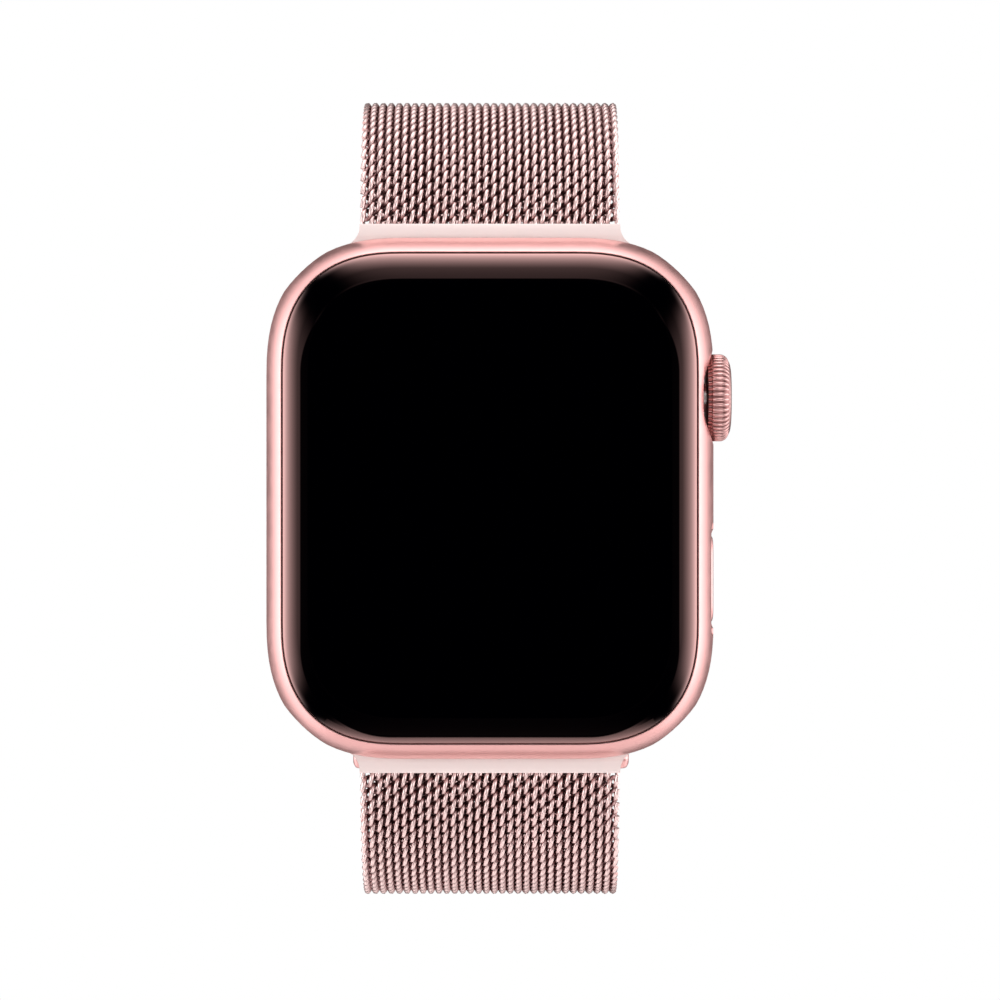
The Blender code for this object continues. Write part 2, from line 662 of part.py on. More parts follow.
# ---- lugs ---------------------------------------------------------------------------
def lug_end_z():
    return HALF_HEIGHT + LUG_REACH


def lug_outline(side):
    """Neck and plate seen from the front: as wide as the band, flaring into the case."""
    half, root = BAND_WIDTH / 2, channel_z(1)
    flare_top, flare_z = lug_end_z() - 0.25 * MM, HALF_HEIGHT - 0.9 * MM
    right = [(half, lug_end_z())]
    steps = 5
    for i in range(steps + 1):
        a = math.pi / 2 * i / steps
        out, down = LUG_FLARE * (1 - math.cos(a)), (flare_top - flare_z) * math.sin(a)
        right.append((half + out, flare_top - down))
    right.append((half + LUG_FLARE, root))
    outline = right + [(-x, z) for x, z in reversed(right)]
    return [(x, side * z) for x, z in outline]


def build_lug(side, label, finishes):
    rail_radius = CHANNEL_RADIUS - LUG_CLEARANCE
    reach = HALF_WIDTH + 1 * MM
    metal = finishes["case_metal"]
    rail = rod(rail_radius, -reach, reach, (0, MID_Y, channel_z(side)), "X", steps=24)
    lug = add_object(f"{label}_lug", rail, metal)
    flush = add_object(f"helper_{label}_flush", loft(case_rings(0.3 * MM)), metal)
    combine(lug, flush, "INTERSECT")
    outline = lug_outline(side)
    rings = [[(x, y, z) for x, z in outline] for y in (MID_Y - LUG_NECK / 2, MID_Y + LUG_NECK / 2)]
    combine(lug, add_object(f"helper_{label}_plate", loft(rings), metal), "UNION")
    radius = DETENT_RADIUS + BUTTON_GAP
    pocket = rod(radius, MID_Y, MID_Y + CHANNEL_RADIUS, (0, 0, channel_z(side)), "Y", steps=16)
    subtract(lug, add_object(f"cut_{label}_detent", pocket, metal))
    tip = MID_Y + rail_radius - 0.15 * MM
    pin = [(DETENT_RADIUS, tip - DETENT_LENGTH), (DETENT_RADIUS, tip - 0.2 * MM), (DETENT_RADIUS / 2, tip)]
    pin = revolve(pin, (0, 0, channel_z(side)), "Y", steps=16)
    add_object(f"{label}_detent_pin", pin, finishes["steel"])


# ---- band path ----------------------------------------------------------------------
def half_loop():
    """(y, z) points from the upper lug's end over the top to the middle of the rear."""
    lean, end = math.radians(BAND_LEAN), math.radians(BEND_LUG[1])
    y, z = MID_Y, lug_end_z()
    points = [(y, z)]
    for radius, start, stop in ((BEND_LUG[0], lean, end), (BEND_TOP, end, math.pi / 2)):
        first = points[-1]
        for i in range(1, PATH_STEPS + 1):
            a = start + (stop - start) * i / PATH_STEPS
            dy = radius * (math.cos(start) - math.cos(a))
            dz = radius * (math.sin(a) - math.sin(start))
            points.append((first[0] + dy, first[1] + dz))
    top = points[-1]
    for i in range(1, 2 * PATH_STEPS + 1):
        a = math.pi / 2 * i / (2 * PATH_STEPS)
        points.append((top[0] + (BAND_DEPTH - top[0]) * math.sin(a), top[1] * math.cos(a)))
    return points


def lengths(path):
    run = [0.0]
    for a, b in zip(path, path[1:]):
        run.append(run[-1] + math.dist(a, b))
    return run


def sample(path, run, s):
    """(point, unit tangent, unit outward normal) at arc length s of a (y, z) path."""
    s = min(max(s, 0.0), run[-1])
    i = max(1, min(next((k for k, r in enumerate(run) if r >= s), len(run) - 1), len(run) - 1))
    a, b = Vector(path[i - 1]), Vector(path[i])
    tangent = (b - a).normalized()
    point = a + tangent * (s - run[i - 1])
    return point, tangent, Vector((-tangent[1], tangent[0]))


def full_loop():
    upper = half_loop()
    return upper + [(y, -z) for y, z in reversed(upper[:-1])]


class BandPlan:
    """Where the loop's pivots and pieces lie, as arc lengths along its centre line."""

    def __init__(self):
        self.path = full_loop()
        self.run = lengths(self.path)
        total = self.run[-1]
        self.nose = PIVOT_GAP + BAND_THICK / 2
        self.lug_pivot = self.nose
        pivot_z = sample(self.path, self.run, self.lug_pivot)[0][1]
        beyond = next(i for i, (y, z) in enumerate(self.path) if z < pivot_z and self.run[i] > total / 8)
        above, below = self.path[beyond - 1][1], self.path[beyond][1]
        share = (above - pivot_z) / (above - below)
        self.rear_pivot = self.run[beyond - 1] + share * (self.run[beyond] - self.run[beyond - 1])
        self.keeper = total - self.rear_pivot
        self.total = total

    def point(self, s):
        return sample(self.path, self.run, s)


def strip_ring(point, normal, half_width, low, high):
    inner, outer = point + normal * low, point + normal * high
    ends = ((-half_width, inner), (half_width, inner), (half_width, outer), (-half_width, outer))
    return [(x, p[0], p[1]) for x, p in ends]


BAND_SECTION = (BAND_WIDTH / 2, -BAND_THICK / 2, BAND_THICK / 2)  # half width, inner face, outer face


def band_strip(plan, start, end, offset=None, nose=False, spacing=3.0 * MM, section=BAND_SECTION):
    """Band between two arc lengths; offset(s) shifts it outwards, and a nose rounds its start."""
    half_width, low, high = section
    count = max(2, round(abs(end - start) / spacing))
    stations = [(start + (end - start) * i / count, 1.0) for i in range(count + 1)]
    if nose:
        radius = (high - low) / 2
        way = 1 if end > start else -1
        turns = (0.25, 0.6, 1.05, math.pi / 2)
        round_off = [(start + way * radius * (1 - math.cos(a)), math.sin(a)) for a in turns]
        stations = round_off + [s for s in stations if way * (s[0] - round_off[-1][0]) > spacing / 4]
    rings = []
    for s, share in stations:
        point, _, normal = plan.point(s)
        shift = offset(s) if offset else 0.0
        rings.append(strip_ring(point, normal, half_width, shift + low * share, shift + high * share))
    return loft(rings)


def fold_radius():
    return KEEPER_BAR / 2 + FOLD_GAP + BAND_THICK / 2


def inner_offset(plan):
    """The inner layer moves towards the wrist beside the keeper bar."""

    def at(s):
        t = min(max(1 - (s - plan.keeper) / MERGE_RUN, 0.0), 1.0)
        return -fold_radius() * t * t * (3 - 2 * t)

    return at


def outer_offset(plan):
    close = BAND_THICK + LAYER_GAP

    def at(s):
        t = min(max(1 - (s - plan.keeper) / MERGE_RUN, 0.0), 1.0)
        return close + (fold_radius() - close) * t * t * (3 - 2 * t)

    return at


# ---- band ---------------------------------------------------------------------------
def build_band(plan, finishes):
    mesh = finishes["mesh_metal"]
    half = BAND_THICK / 2
    upper = band_strip(plan, plan.lug_pivot - half, plan.rear_pivot - plan.nose, nose=True)
    add_object("upper_mesh", upper, mesh)
    link_end = plan.keeper - KEEPER_BAR * 1.5 - KEEPER_SLOT - PIVOT_GAP
    add_object("rear_mesh", band_strip(plan, plan.rear_pivot - half, link_end, nose=True), mesh)
    lug_end, fold_end = plan.total - plan.lug_pivot + half, plan.keeper + PIVOT_GAP
    lower = band_strip(plan, lug_end, fold_end, offset=inner_offset(plan), nose=True)
    add_object("lower_mesh", lower, mesh)
    build_fold(plan, mesh)
    tail_end = fold_end + TAIL_LENGTH
    add_object("tail_mesh", band_strip(plan, fold_end, tail_end, offset=outer_offset(plan)), mesh)
    build_clasp(plan, tail_end + PIVOT_GAP, finishes)
    build_keeper(plan, finishes["case_metal"])


def build_fold(plan, finish):
    """The half turn of mesh around the keeper's bar."""
    centre, tangent, normal = plan.point(plan.keeper)
    radius = fold_radius()
    steps = 12
    rings = []
    for i in range(steps + 1):
        a = math.pi * i / steps
        way = -normal * math.cos(a) - tangent * math.sin(a)
        rings.append(strip_ring(centre + way * radius, way, BAND_WIDTH / 2, -BAND_THICK / 2, BAND_THICK / 2))
    add_object("mesh_fold", loft(rings), finish)


def build_keeper(plan, finish):
    """Frame with a slot: one bar carries the rear mesh, the other turns the lower mesh back."""
    centre, _, _ = plan.point(plan.keeper)
    span = KEEPER_BAR + KEEPER_SLOT
    far, _, _ = plan.point(plan.keeper - span)
    along = (far - centre).normalized()
    normal = Vector((along[1], -along[0]))
    half_slot = BAND_WIDTH / 2 + KEEPER_SIDE_GAP
    half_x = half_slot + KEEPER_SIDE

    def plate(name, x, low, high, depth):
        corners = ((-x, low), (x, low), (x, high), (-x, high))
        rings = []
        for d in (-depth / 2, depth / 2):
            ring = []
            for px, t in corners:
                p = centre + along * t + normal * d
                ring.append((px, p[0], p[1]))
            rings.append(ring)
        return add_object(name, loft(rings), finish)

    keeper = plate("keeper", half_x, -KEEPER_BAR / 2, span + KEEPER_BAR / 2, KEEPER_BAR)
    slot_low, slot_high = KEEPER_BAR / 2, KEEPER_BAR / 2 + KEEPER_SLOT
    subtract(keeper, plate("cut_keeper_slot", half_slot, slot_low, slot_high, 3 * KEEPER_BAR))
    soften(keeper, KEEPER_BEVEL)


def build_clasp(plan, start, finishes):
    """A cover over a magnet that lies against the outside of the lower mesh."""
    low = BAND_THICK / 2 + LAYER_GAP
    high, half, end = low + CLASP_THICK, BAND_WIDTH / 2, start + CLASP_LENGTH

    def layer(from_edge, bottom, top):
        section = (half - from_edge, bottom, top)
        return band_strip(plan, start + from_edge, end - from_edge, spacing=1.5 * MM, section=section)

    clasp = add_object("clasp_shell", layer(0, low, high), finishes["case_metal"])
    pocket = layer(CLASP_WALL, low - 1 * MM, high - CLASP_WALL)
    subtract(clasp, add_object("cut_clasp_pocket", pocket, finishes["case_metal"]))
    inside = CLASP_WALL + MAGNET_GAP
    add_object("clasp_magnet", layer(inside, low, high - inside), finishes["magnet"])


def main():
    clear_scene()
    finishes = make_finishes()
    build_case(finishes["case_metal"])
    build_front(finishes)
    build_rear(finishes)
    build_crown(finishes)
    build_side_button(finishes)
    build_inner_parts(finishes)
    for side, label in ((1, "upper"), (-1, "lower")):
        build_release_button(side, label, finishes["case_metal"])
        build_lug(side, label, finishes)
    build_band(BandPlan(), finishes)


main()
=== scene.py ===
import json
import math

import bmesh
import bpy
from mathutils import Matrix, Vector

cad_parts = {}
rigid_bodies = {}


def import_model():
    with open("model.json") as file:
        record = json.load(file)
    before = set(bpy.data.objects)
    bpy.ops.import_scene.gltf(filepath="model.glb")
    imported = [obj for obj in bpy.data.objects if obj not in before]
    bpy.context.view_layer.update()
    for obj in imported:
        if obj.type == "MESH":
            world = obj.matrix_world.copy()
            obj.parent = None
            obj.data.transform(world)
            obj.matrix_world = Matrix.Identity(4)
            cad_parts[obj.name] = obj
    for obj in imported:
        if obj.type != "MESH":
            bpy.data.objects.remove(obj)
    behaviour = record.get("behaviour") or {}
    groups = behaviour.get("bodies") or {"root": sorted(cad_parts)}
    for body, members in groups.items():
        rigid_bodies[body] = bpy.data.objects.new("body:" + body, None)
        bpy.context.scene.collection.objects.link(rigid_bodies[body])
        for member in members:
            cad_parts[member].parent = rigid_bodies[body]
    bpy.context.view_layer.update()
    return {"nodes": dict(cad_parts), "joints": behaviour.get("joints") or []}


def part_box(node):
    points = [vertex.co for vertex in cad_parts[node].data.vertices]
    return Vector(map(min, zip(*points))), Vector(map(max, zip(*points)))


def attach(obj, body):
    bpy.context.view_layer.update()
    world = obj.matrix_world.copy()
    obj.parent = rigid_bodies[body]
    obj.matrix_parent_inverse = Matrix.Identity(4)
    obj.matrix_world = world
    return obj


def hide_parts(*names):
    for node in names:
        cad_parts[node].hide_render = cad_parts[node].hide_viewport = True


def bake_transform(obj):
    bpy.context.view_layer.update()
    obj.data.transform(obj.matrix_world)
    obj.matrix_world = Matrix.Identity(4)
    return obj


for old in list(bpy.data.objects):
    bpy.data.objects.remove(old)
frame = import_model()
mm = 0.001
print("frame loaded:", len(frame["nodes"]), "nodes")

# Shared places. Everything is in metres, with the wrist side of the rear crystal at the origin.
watchCase = {
    "width": 37.8 * mm,
    "height": 44.1 * mm,
    "corner": 11.7 * mm,
    "cornerPower": 2.5,
    "cornerSteps": 22,
    "middleY": -5.6 * mm,
    "seamY": -9.9 * mm,
    "rearY": -1.6 * mm,
    "seamInset": 1.46 * mm,
    "frontBulge": (2.98 * mm, 5.07 * mm),
    "rearBulge": (3.2 * mm, 4.3 * mm),
    "channelDepth": 2.85 * mm,
    "channelRadius": 1.95 * mm,
    "channelMouth": 2.4 * mm,
    "edgeBreak": 0.07 * mm,
}
halfWidth = watchCase["width"] / 2
halfHeight = watchCase["height"] / 2
middleY = watchCase["middleY"]


def addNode(tree, kind, settings=None, inputs=None):
    # one node, its settings by attribute and its inputs by value or by link
    node = tree.nodes.new(kind)
    for key, value in (settings or {}).items():
        setattr(node, key, value)
    for key, value in (inputs or {}).items():
        socket = node.inputs[key]
        if isinstance(value, bpy.types.NodeSocket):
            tree.links.new(value, socket)
        else:
            socket.default_value = value
    return node


def mathNode(tree, operation, first, second=0.0, third=0.0):
    inputs = {0: first, 1: second, 2: third}
    return addNode(tree, "ShaderNodeMath", {"operation": operation}, inputs).outputs[0]


def rampNode(tree, value, low, high, toLow=0.0, toHigh=1.0, shape="LINEAR"):
    inputs = {"Value": value, "From Min": low, "From Max": high, "To Min": toLow, "To Max": toHigh}
    settings = {"interpolation_type": shape}
    return addNode(tree, "ShaderNodeMapRange", settings, inputs).outputs["Result"]


def linearColor(hexCode):
    # sRGB hex to the linear colour that shaders work in
    parts = [int(hexCode[i : i + 2], 16) / 255 for i in (1, 3, 5)]
    return [p / 12.92 if p <= 0.04045 else ((p + 0.055) / 1.055) ** 2.4 for p in parts] + [1.0]


def pieceFrom(name, shape, material, smoothAngle=35):
    bmesh.ops.recalc_face_normals(shape, faces=shape.faces)
    mesh = bpy.data.meshes.new(name)
    shape.to_mesh(mesh)
    shape.free()
    mesh.materials.append(material)
    mesh.shade_smooth()
    mesh.set_sharp_from_angle(angle=math.radians(smoothAngle))
    piece = bpy.data.objects.new(name, mesh)
    bpy.context.scene.collection.objects.link(piece)
    return piece


def evaluatedMesh(piece):
    graph = bpy.context.evaluated_depsgraph_get()
    graph.update()
    return bpy.data.meshes.new_from_object(piece.evaluated_get(graph))


def bakeModifiers(piece, smoothAngle=None):
    # swaps the piece's mesh for the result of its modifiers
    mesh = evaluatedMesh(piece)
    piece.modifiers.clear()
    piece.data = mesh
    if smoothAngle:
        mesh.shade_smooth()
        mesh.set_sharp_from_angle(angle=math.radians(smoothAngle))


def combine(piece, operation, helpers, smoothAngle=None):
    # booleans the helpers into the piece and removes them
    for helper in helpers:
        step = piece.modifiers.new("combine", "BOOLEAN")
        step.operation = operation
        step.object = helper
        step.solver = "EXACT"
    bakeModifiers(piece, smoothAngle)
    for helper in helpers:
        bpy.data.objects.remove(helper)


def enlist(piece, slot, body, *nodes):
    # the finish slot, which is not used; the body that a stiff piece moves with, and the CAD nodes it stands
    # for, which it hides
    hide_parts(*nodes)
    if body:
        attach(piece, body)


def addValues(piece, name, values):
    # one value for each point, for a finish to read
    piece.data.attributes.new(name, "FLOAT", "POINT").data.foreach_set("value", values)


def startTree(name, inputs, output):
    # a Geometry Nodes tree with typed inputs, and the sockets that give them
    tree = bpy.data.node_groups.new(name, "GeometryNodeTree")
    for label, kind in inputs.items():
        tree.interface.new_socket(label, in_out="INPUT", socket_type="NodeSocket" + kind)
    tree.interface.new_socket(output, in_out="OUTPUT", socket_type="NodeSocketGeometry")
    return tree, addNode(tree, "NodeGroupInput").outputs


def addTree(piece, tree, values):
    # a tree's inputs are set by their sockets' identifiers
    step = piece.modifiers.new(tree.name, "NODES")
    step.node_group = tree
    sockets = {s.name: s.identifier for s in tree.interface.items_tree if s.in_out == "INPUT"}
    for name, value in values.items():
        step[sockets[name]] = value


def breakEdges(piece, width, segments=2, angle=38):
    step = piece.modifiers.new("broken edges", "BEVEL")
    step.width = width
    step.segments = segments
    step.limit_method = "ANGLE"
    step.angle_limit = math.radians(angle)
    step.use_clamp_overlap = True
    bakeModifiers(piece, 40)


def loft(rings):
    shape = bmesh.new()
    rows = [[shape.verts.new(p) for p in ring] for ring in rings]
    count = len(rows[0])
    for first, second in zip(rows, rows[1:]):
        for i in range(count):
            j = (i + 1) % count
            shape.faces.new((first[i], first[j], second[j], second[i]))
    shape.faces.new(rows[0])
    shape.faces.new(rows[-1])
    return shape


def revolve(profile, centre, axis, steps=96, closed=False):
    # turns (radius, distance along the axis) points about the X or the Y axis
    rings = []
    for radius, along in profile:
        ring = []
        for i in range(steps):
            turn = 2 * math.pi * i / steps
            a, b = radius * math.cos(turn), radius * math.sin(turn)
            point = (along, a, b) if axis == "X" else (a, along, b)
            ring.append(Vector(point) + Vector(centre))
        rings.append(ring)
    if not closed:
        return loft(rings)
    shape = loft(rings + rings[:1])
    bmesh.ops.delete(shape, geom=[f for f in shape.faces if len(f.verts) > 4], context="FACES_ONLY")
    bmesh.ops.remove_doubles(shape, verts=shape.verts, dist=1e-8)
    return shape


def rod(radius, low, high, centre, axis, steps=96):
    return revolve([(radius, low), (radius, high)], centre, axis, steps)


def roundedOutline(halfX, halfZ, corner, steps=None, straightSteps=1):
    steps = steps or watchCase["cornerSteps"]
    share = 2 / watchCase["cornerPower"]
    points = []
    for quarter in range(4):
        signX = 1 if quarter in (0, 3) else -1
        signZ = 1 if quarter in (0, 1) else -1
        for i in range(steps + 1):
            turn = (quarter + i / steps) * math.pi / 2
            x, z = (value if value > 1e-9 else 0 for value in (abs(math.cos(turn)), abs(math.sin(turn))))
            x, z = halfX - corner + corner * x**share, halfZ - corner + corner * z**share
            points.append((signX * x, signZ * z))
        x, z = points[-1]
        end = (-x, z) if quarter % 2 == 0 else (x, -z)
        for i in range(1, straightSteps):
            part = i / straightSteps
            points.append((x + (end[0] - x) * part, z + (end[1] - z) * part))
    return points


def caseRing(inset, y, straightSteps=1):
    corner = max(watchCase["corner"] - inset, 2 * mm)
    outline = roundedOutline(halfWidth - inset, halfHeight - inset, corner, straightSteps=straightSteps)
    return [(x, y, z) for x, z in outline]


def pill(length, width, steps=14):
    radius = width / 2
    points = []
    for end in (1, -1):
        for i in range(steps + 1):
            turn = math.pi * i / steps
            along = length / 2 - radius + radius * math.sin(turn)
            points.append((end * radius * math.cos(turn), end * along))
    return points


def box(low, high):
    ring = [(low[0], low[2]), (high[0], low[2]), (high[0], high[2]), (low[0], high[2])]
    return loft([[(x, y, z) for x, z in ring] for y in (low[1], high[1])])


def addGrain(tree, shader, roughness, grainSize, depth, spread):
    # fine relief, and patches of roughness 12 grains wide
    place = addNode(tree, "ShaderNodeTexCoord").outputs["Object"]
    grain = addNode(tree, "ShaderNodeTexNoise", {}, {"Vector": place, "Scale": 1 / grainSize, "Detail": 3.0})
    inputs = {"Height": grain.outputs["Fac"], "Distance": depth, "Strength": 0.6}
    relief = addNode(tree, "ShaderNodeBump", {}, inputs)
    tree.links.new(relief.outputs["Normal"], shader.inputs["Normal"])
    inputs = {"Vector": place, "Scale": 1 / (12 * grainSize), "Detail": 2.0}
    patch = addNode(tree, "ShaderNodeTexNoise", {}, inputs).outputs["Fac"]
    varied = rampNode(tree, patch, 0.3, 0.7, roughness - spread, roughness + spread)
    tree.links.new(varied, shader.inputs["Roughness"])


def makeFinish(name, color, roughness, metallic, ior=None, grain=None):
    # grain is its width and depth in mm, and how far the roughness strays
    material = bpy.data.materials.new(name)
    material.use_nodes = True
    shader = material.node_tree.nodes["Principled BSDF"]
    values = {"Base Color": linearColor(color), "Roughness": roughness, "Metallic": metallic}
    if ior:
        values["IOR"] = ior
    for key, value in values.items():
        shader.inputs[key].default_value = value
    if grain:
        width, depth, spread = grain
        addGrain(material.node_tree, shader, roughness, width * mm, depth * mm, spread)
    return material


def paintGrooveShade(material, color, grooveShadeColor):
    # painted shade: the first colour where the attribute is 1, the darker second colour where it is 0, in
    # grooves and hollows
    tree = material.node_tree
    crest = addNode(tree, "ShaderNodeAttribute", {"attribute_name": "crest"}).outputs["Fac"]
    inputs = {"Factor": crest, 6: linearColor(grooveShadeColor), 7: linearColor(color)}
    mixed = addNode(tree, "ShaderNodeMix", {"data_type": "RGBA"}, inputs)
    tree.links.new(mixed.outputs[2], tree.nodes["Principled BSDF"].inputs["Base Color"])


# Anodised aluminium, bead blasted before it was dyed: an even, satin pink with no grain direction.
# Real blasting pits are about 0.03 mm; these are 0.09 mm so that they show.
satin = makeFinish("anodisedAluminium", "#EDB4B1", 0.36, 1.0, None, (0.09, 0.004, 0.03))

# The crown is the same metal, painted darker as shade, and darker still in its grooves: painted shade where
# the knurl shades itself.
knurled = makeFinish("knurledAluminium", "#DCA9A6", 0.32, 1.0, None, (0.09, 0.003, 0.03))
paintGrooveShade(knurled, "#DCABA8", "#9C706E")

# Stainless wire with a vapour-deposited pink coat: brighter and smoother than the case.
# Its colour is painted darker inside the weave: painted shade where the coils shade each other.
wire = makeFinish("coatedSteelWire", "#FADAD7", 0.34, 1.0)
paintGrooveShade(wire, "#FADAD7", "#83595A")

# The band's machined ends: blasted stainless with the same coat, duller than the case, and made paler with
# painted light so that the plates look brightly lit.
lugSteelPaintedBright = makeFinish("blastedCoatedSteel", "#FFEDEA", 0.55, 1.0, None, (0.08, 0.004, 0.03))

# Zirconia rear cover, ground and polished to a satin black.
ceramic = makeFinish("blackCeramic", "#1B1A1C", 0.28, 0.0, 2.1, (0.12, 0.002, 0.04))

# Plain stainless steel, turned: bright, with slight patches.
steel = makeFinish("turnedSteel", "#C9C8C6", 0.28, 1.0, None, (0.15, 0.003, 0.06))

# Silicone seals: soft black with a dull, slightly dusty surface.
rubber = makeFinish("siliconeRubber", "#18181A", 0.75, 0.0, 1.43, (0.1, 0.006, 0.05))

# Glass-filled nylon, moulded against a spark-eroded tool: matte black with fine pimples.
nylon = makeFinish("mouldedNylon", "#1D1D1F", 0.55, 0.0, 1.53, (0.14, 0.008, 0.06))

# Rear crystal: dark polished glass over the sensors.
crystal = makeFinish("rearCrystalGlass", "#0B0B0D", 0.05, 0.0, 1.6)

# Glass-fibre circuit board under green-black solder mask.
board = makeFinish("solderMaskedBoard", "#12301F", 0.42, 0.0, 1.5, (0.4, 0.01, 0.06))

# Battery foil in black polymer wrap: soft sheen with slow ripples.
foil = makeFinish("batteryFoil", "#232326", 0.4, 0.0, 1.5, (1.2, 0.03, 0.08))

# Enamelled copper winding: warm and bright, broken up by its 0.2 mm turns.
copper = makeFinish("enamelledCopper", "#C77B4F", 0.32, 1.0, None, (0.2, 0.01, 0.05))

# Nickel-plated magnet: bright, slightly warm grey.
nickel = makeFinish("nickelPlate", "#B9B4AC", 0.22, 1.0, None, (0.3, 0.002, 0.05))

# Unlit display: black laminate.
laminate = makeFinish("displayLaminate", "#050506", 0.35, 0.0, 1.5, (0.2, 0.001, 0.04))

display = {
    "half": (15.8 * mm, 18.95 * mm),
    "middle": (0.0, -1.0 * mm),
    "corner": 7.5 * mm,
    "edge": (-0.04 * mm, 0.06 * mm),  # over which the mask's edge fades, from the display's outline
    "coatedIndex": 1.06,  # refractive index over the display, with its coating
    "borderIndex": 0.34,  # added on the polished border
    # painted reflection: the rim's reflection raised by position
    "rimPaintedIndex": (0.95, 1.9),  # added towards the rim, evenly and steeply
    "rimPower": 5.0,
    "rimWidth": 1.25 * mm,
    # painted shade: the rim's reflection taken out where the outline turns round a corner
    "cornerPaintedShade": (-0.05, 0.95),
}


def makeGlassFinish():
    # Strengthened cover glass over a black mask, coated against reflections over the display. The border
    # reflects, with a pink painted reflection growing towards the rim and painted shade at round corners.
    glass = makeFinish("blackMaskedGlass", "#000001", 0.04, 0.0)
    tree = glass.node_tree
    shader = tree.nodes["Principled BSDF"]
    # painted reflection: a pink tint on every reflection from the glass
    shader.inputs["Specular Tint"].default_value = linearColor("#FFC8C4")
    place = addNode(tree, "ShaderNodeTexCoord").outputs["Object"]
    parts = addNode(tree, "ShaderNodeSeparateXYZ", {}, {"Vector": place}).outputs
    flat = addNode(tree, "ShaderNodeCombineXYZ", {}, {"X": parts["X"], "Y": parts["Z"]}).outputs[0]

    def vectorNode(operation, first, second=(0, 0, 0)):
        return addNode(tree, "ShaderNodeVectorMath", {"operation": operation}, {0: first, 1: second}).outputs

    def attribute(name):
        return addNode(tree, "ShaderNodeAttribute", {"attribute_name": name}).outputs["Fac"]

    corner = display["corner"]
    centred = vectorNode("SUBTRACT", flat, (*display["middle"], 0))[0]
    inner = [half - corner for half in display["half"]]
    apart = vectorNode("SUBTRACT", vectorNode("ABSOLUTE", centred)[0], (*inner, 0))[0]
    fromCorner = vectorNode("LENGTH", vectorNode("MAXIMUM", apart)[0])["Value"]
    low, high = display["edge"]
    border = rampNode(tree, fromCorner, corner + low, corner + high)
    # painted reflection towards the rim, and painted shade where the outline turns round a corner
    near = rampNode(tree, attribute("fromRim"), 0.0, display["rimWidth"], 1.0, 0.0)
    low, high = display["cornerPaintedShade"]
    straight = rampNode(tree, attribute("roundCorner"), low, high, 1.0, 0.0, "SMOOTHSTEP")
    even, steep = display["rimPaintedIndex"]
    rim = mathNode(tree, "MULTIPLY", mathNode(tree, "POWER", near, display["rimPower"]), steep)
    rim = mathNode(tree, "MULTIPLY_ADD", near, even, rim)
    added = mathNode(tree, "MULTIPLY", mathNode(tree, "ADD", rim, display["borderIndex"]), straight)
    index = mathNode(tree, "MULTIPLY_ADD", added, border, display["coatedIndex"])
    tree.links.new(index, shader.inputs["IOR"])
    return glass


glass = makeGlassFinish()
print("finishes made:", len(bpy.data.materials))


def sideInset(y):
    reach, height = watchCase["frontBulge"] if y < middleY else watchCase["rearBulge"]
    t = (y - middleY) / height
    return reach * (1 - math.sqrt(max(0, 1 - t * t)))


caseCuts = {
    "glassPocketFloor": -8.9 * mm,
    "displayHalf": (16.5 * mm, 19.1 * mm),
    "displayCorner": 8.0 * mm,
    "displayFloor": -8.4 * mm,
    "cavityHalf": (16.5 * mm, 16.5 * mm),
    "cavityCorner": 5.0 * mm,
    "cavityFloor": -3.2 * mm,
    "rearRecessHalf": (15.5 * mm, 16.8 * mm),
    "rearRecessCorner": 9.0 * mm,
    "rearRecessFloor": -2.25 * mm,
    "rearHole": 12.4 * mm,
    "releaseSize": (5.2 * mm, 1.5 * mm),
    "releaseShift": 0.55 * mm,
    "releaseGap": 0.15 * mm,
    "speakerSlot": (4.6 * mm, 0.9 * mm),
    "speakerSpacing": 6.2 * mm,
    "soundZ": 1.0 * mm,
    "microphoneHole": 0.45 * mm,
}
crown = {
    "z": 8.5 * mm,
    "radius": 3.68 * mm,
    "width": 2.15 * mm,
    "proud": 1.5 * mm,
    "travel": 0.3 * mm,
    "wellGap": 0.35 * mm,
    "floorGap": 0.04 * mm,
    "bore": 2.2 * mm,
    "ribs": 50,
    "ribHeight": 0.14 * mm,
    "collarRadius": 3.3 * mm,
    "collarWidth": 0.38 * mm,
    "shoulder": (0.88 * mm, 1.2 * mm),
    "capRadius": 2.5 * mm,
}
sideButton = {
    "z": -6.8 * mm,
    "length": 7.4 * mm,
    "width": 3.0 * mm,
    "thick": 0.95 * mm,
    "sunk": 0.05 * mm,
    "travel": 0.35 * mm,
    "gaps": (0.5 * mm, 0.25 * mm),  # at the ends, along the sides
    "dish": {"depth": 0.3 * mm, "length": 9.2 * mm, "width": 2.2 * mm, "shift": -0.9 * mm},
    "stem": 0.6 * mm,
}


def cutter(rings):
    return pieceFrom("cut", loft(rings), satin)


def prism(flat, levels):
    return cutter([[(x, y, z) for x, z in flat] for y in levels])


def rodCutter(*shape):
    return pieceFrom("cut", rod(*shape), satin)


def sidePrism(flat, centreZ, levels):
    # an outline (across, along) on the case's side, swept along X
    return cutter([[(x, middleY + across, centreZ + along) for across, along in flat] for x in levels])


def channelZ(side):
    return side * (halfHeight - watchCase["channelDepth"])


def releaseOutline(side, grow=0.0):
    length, width = caseCuts["releaseSize"]
    centreZ = channelZ(side) - side * caseCuts["releaseShift"]
    return [(along, across + centreZ) for across, along in pill(length + 2 * grow, width + 2 * grow)]


def sidePill(x, shrink=0.0):
    flat = pill(sideButton["length"] - 2 * shrink, sideButton["width"] - 2 * shrink)
    return [(x, middleY + across, sideButton["z"] + along) for across, along in flat]


def crownFaceX():
    return halfWidth + crown["proud"] - crown["width"]


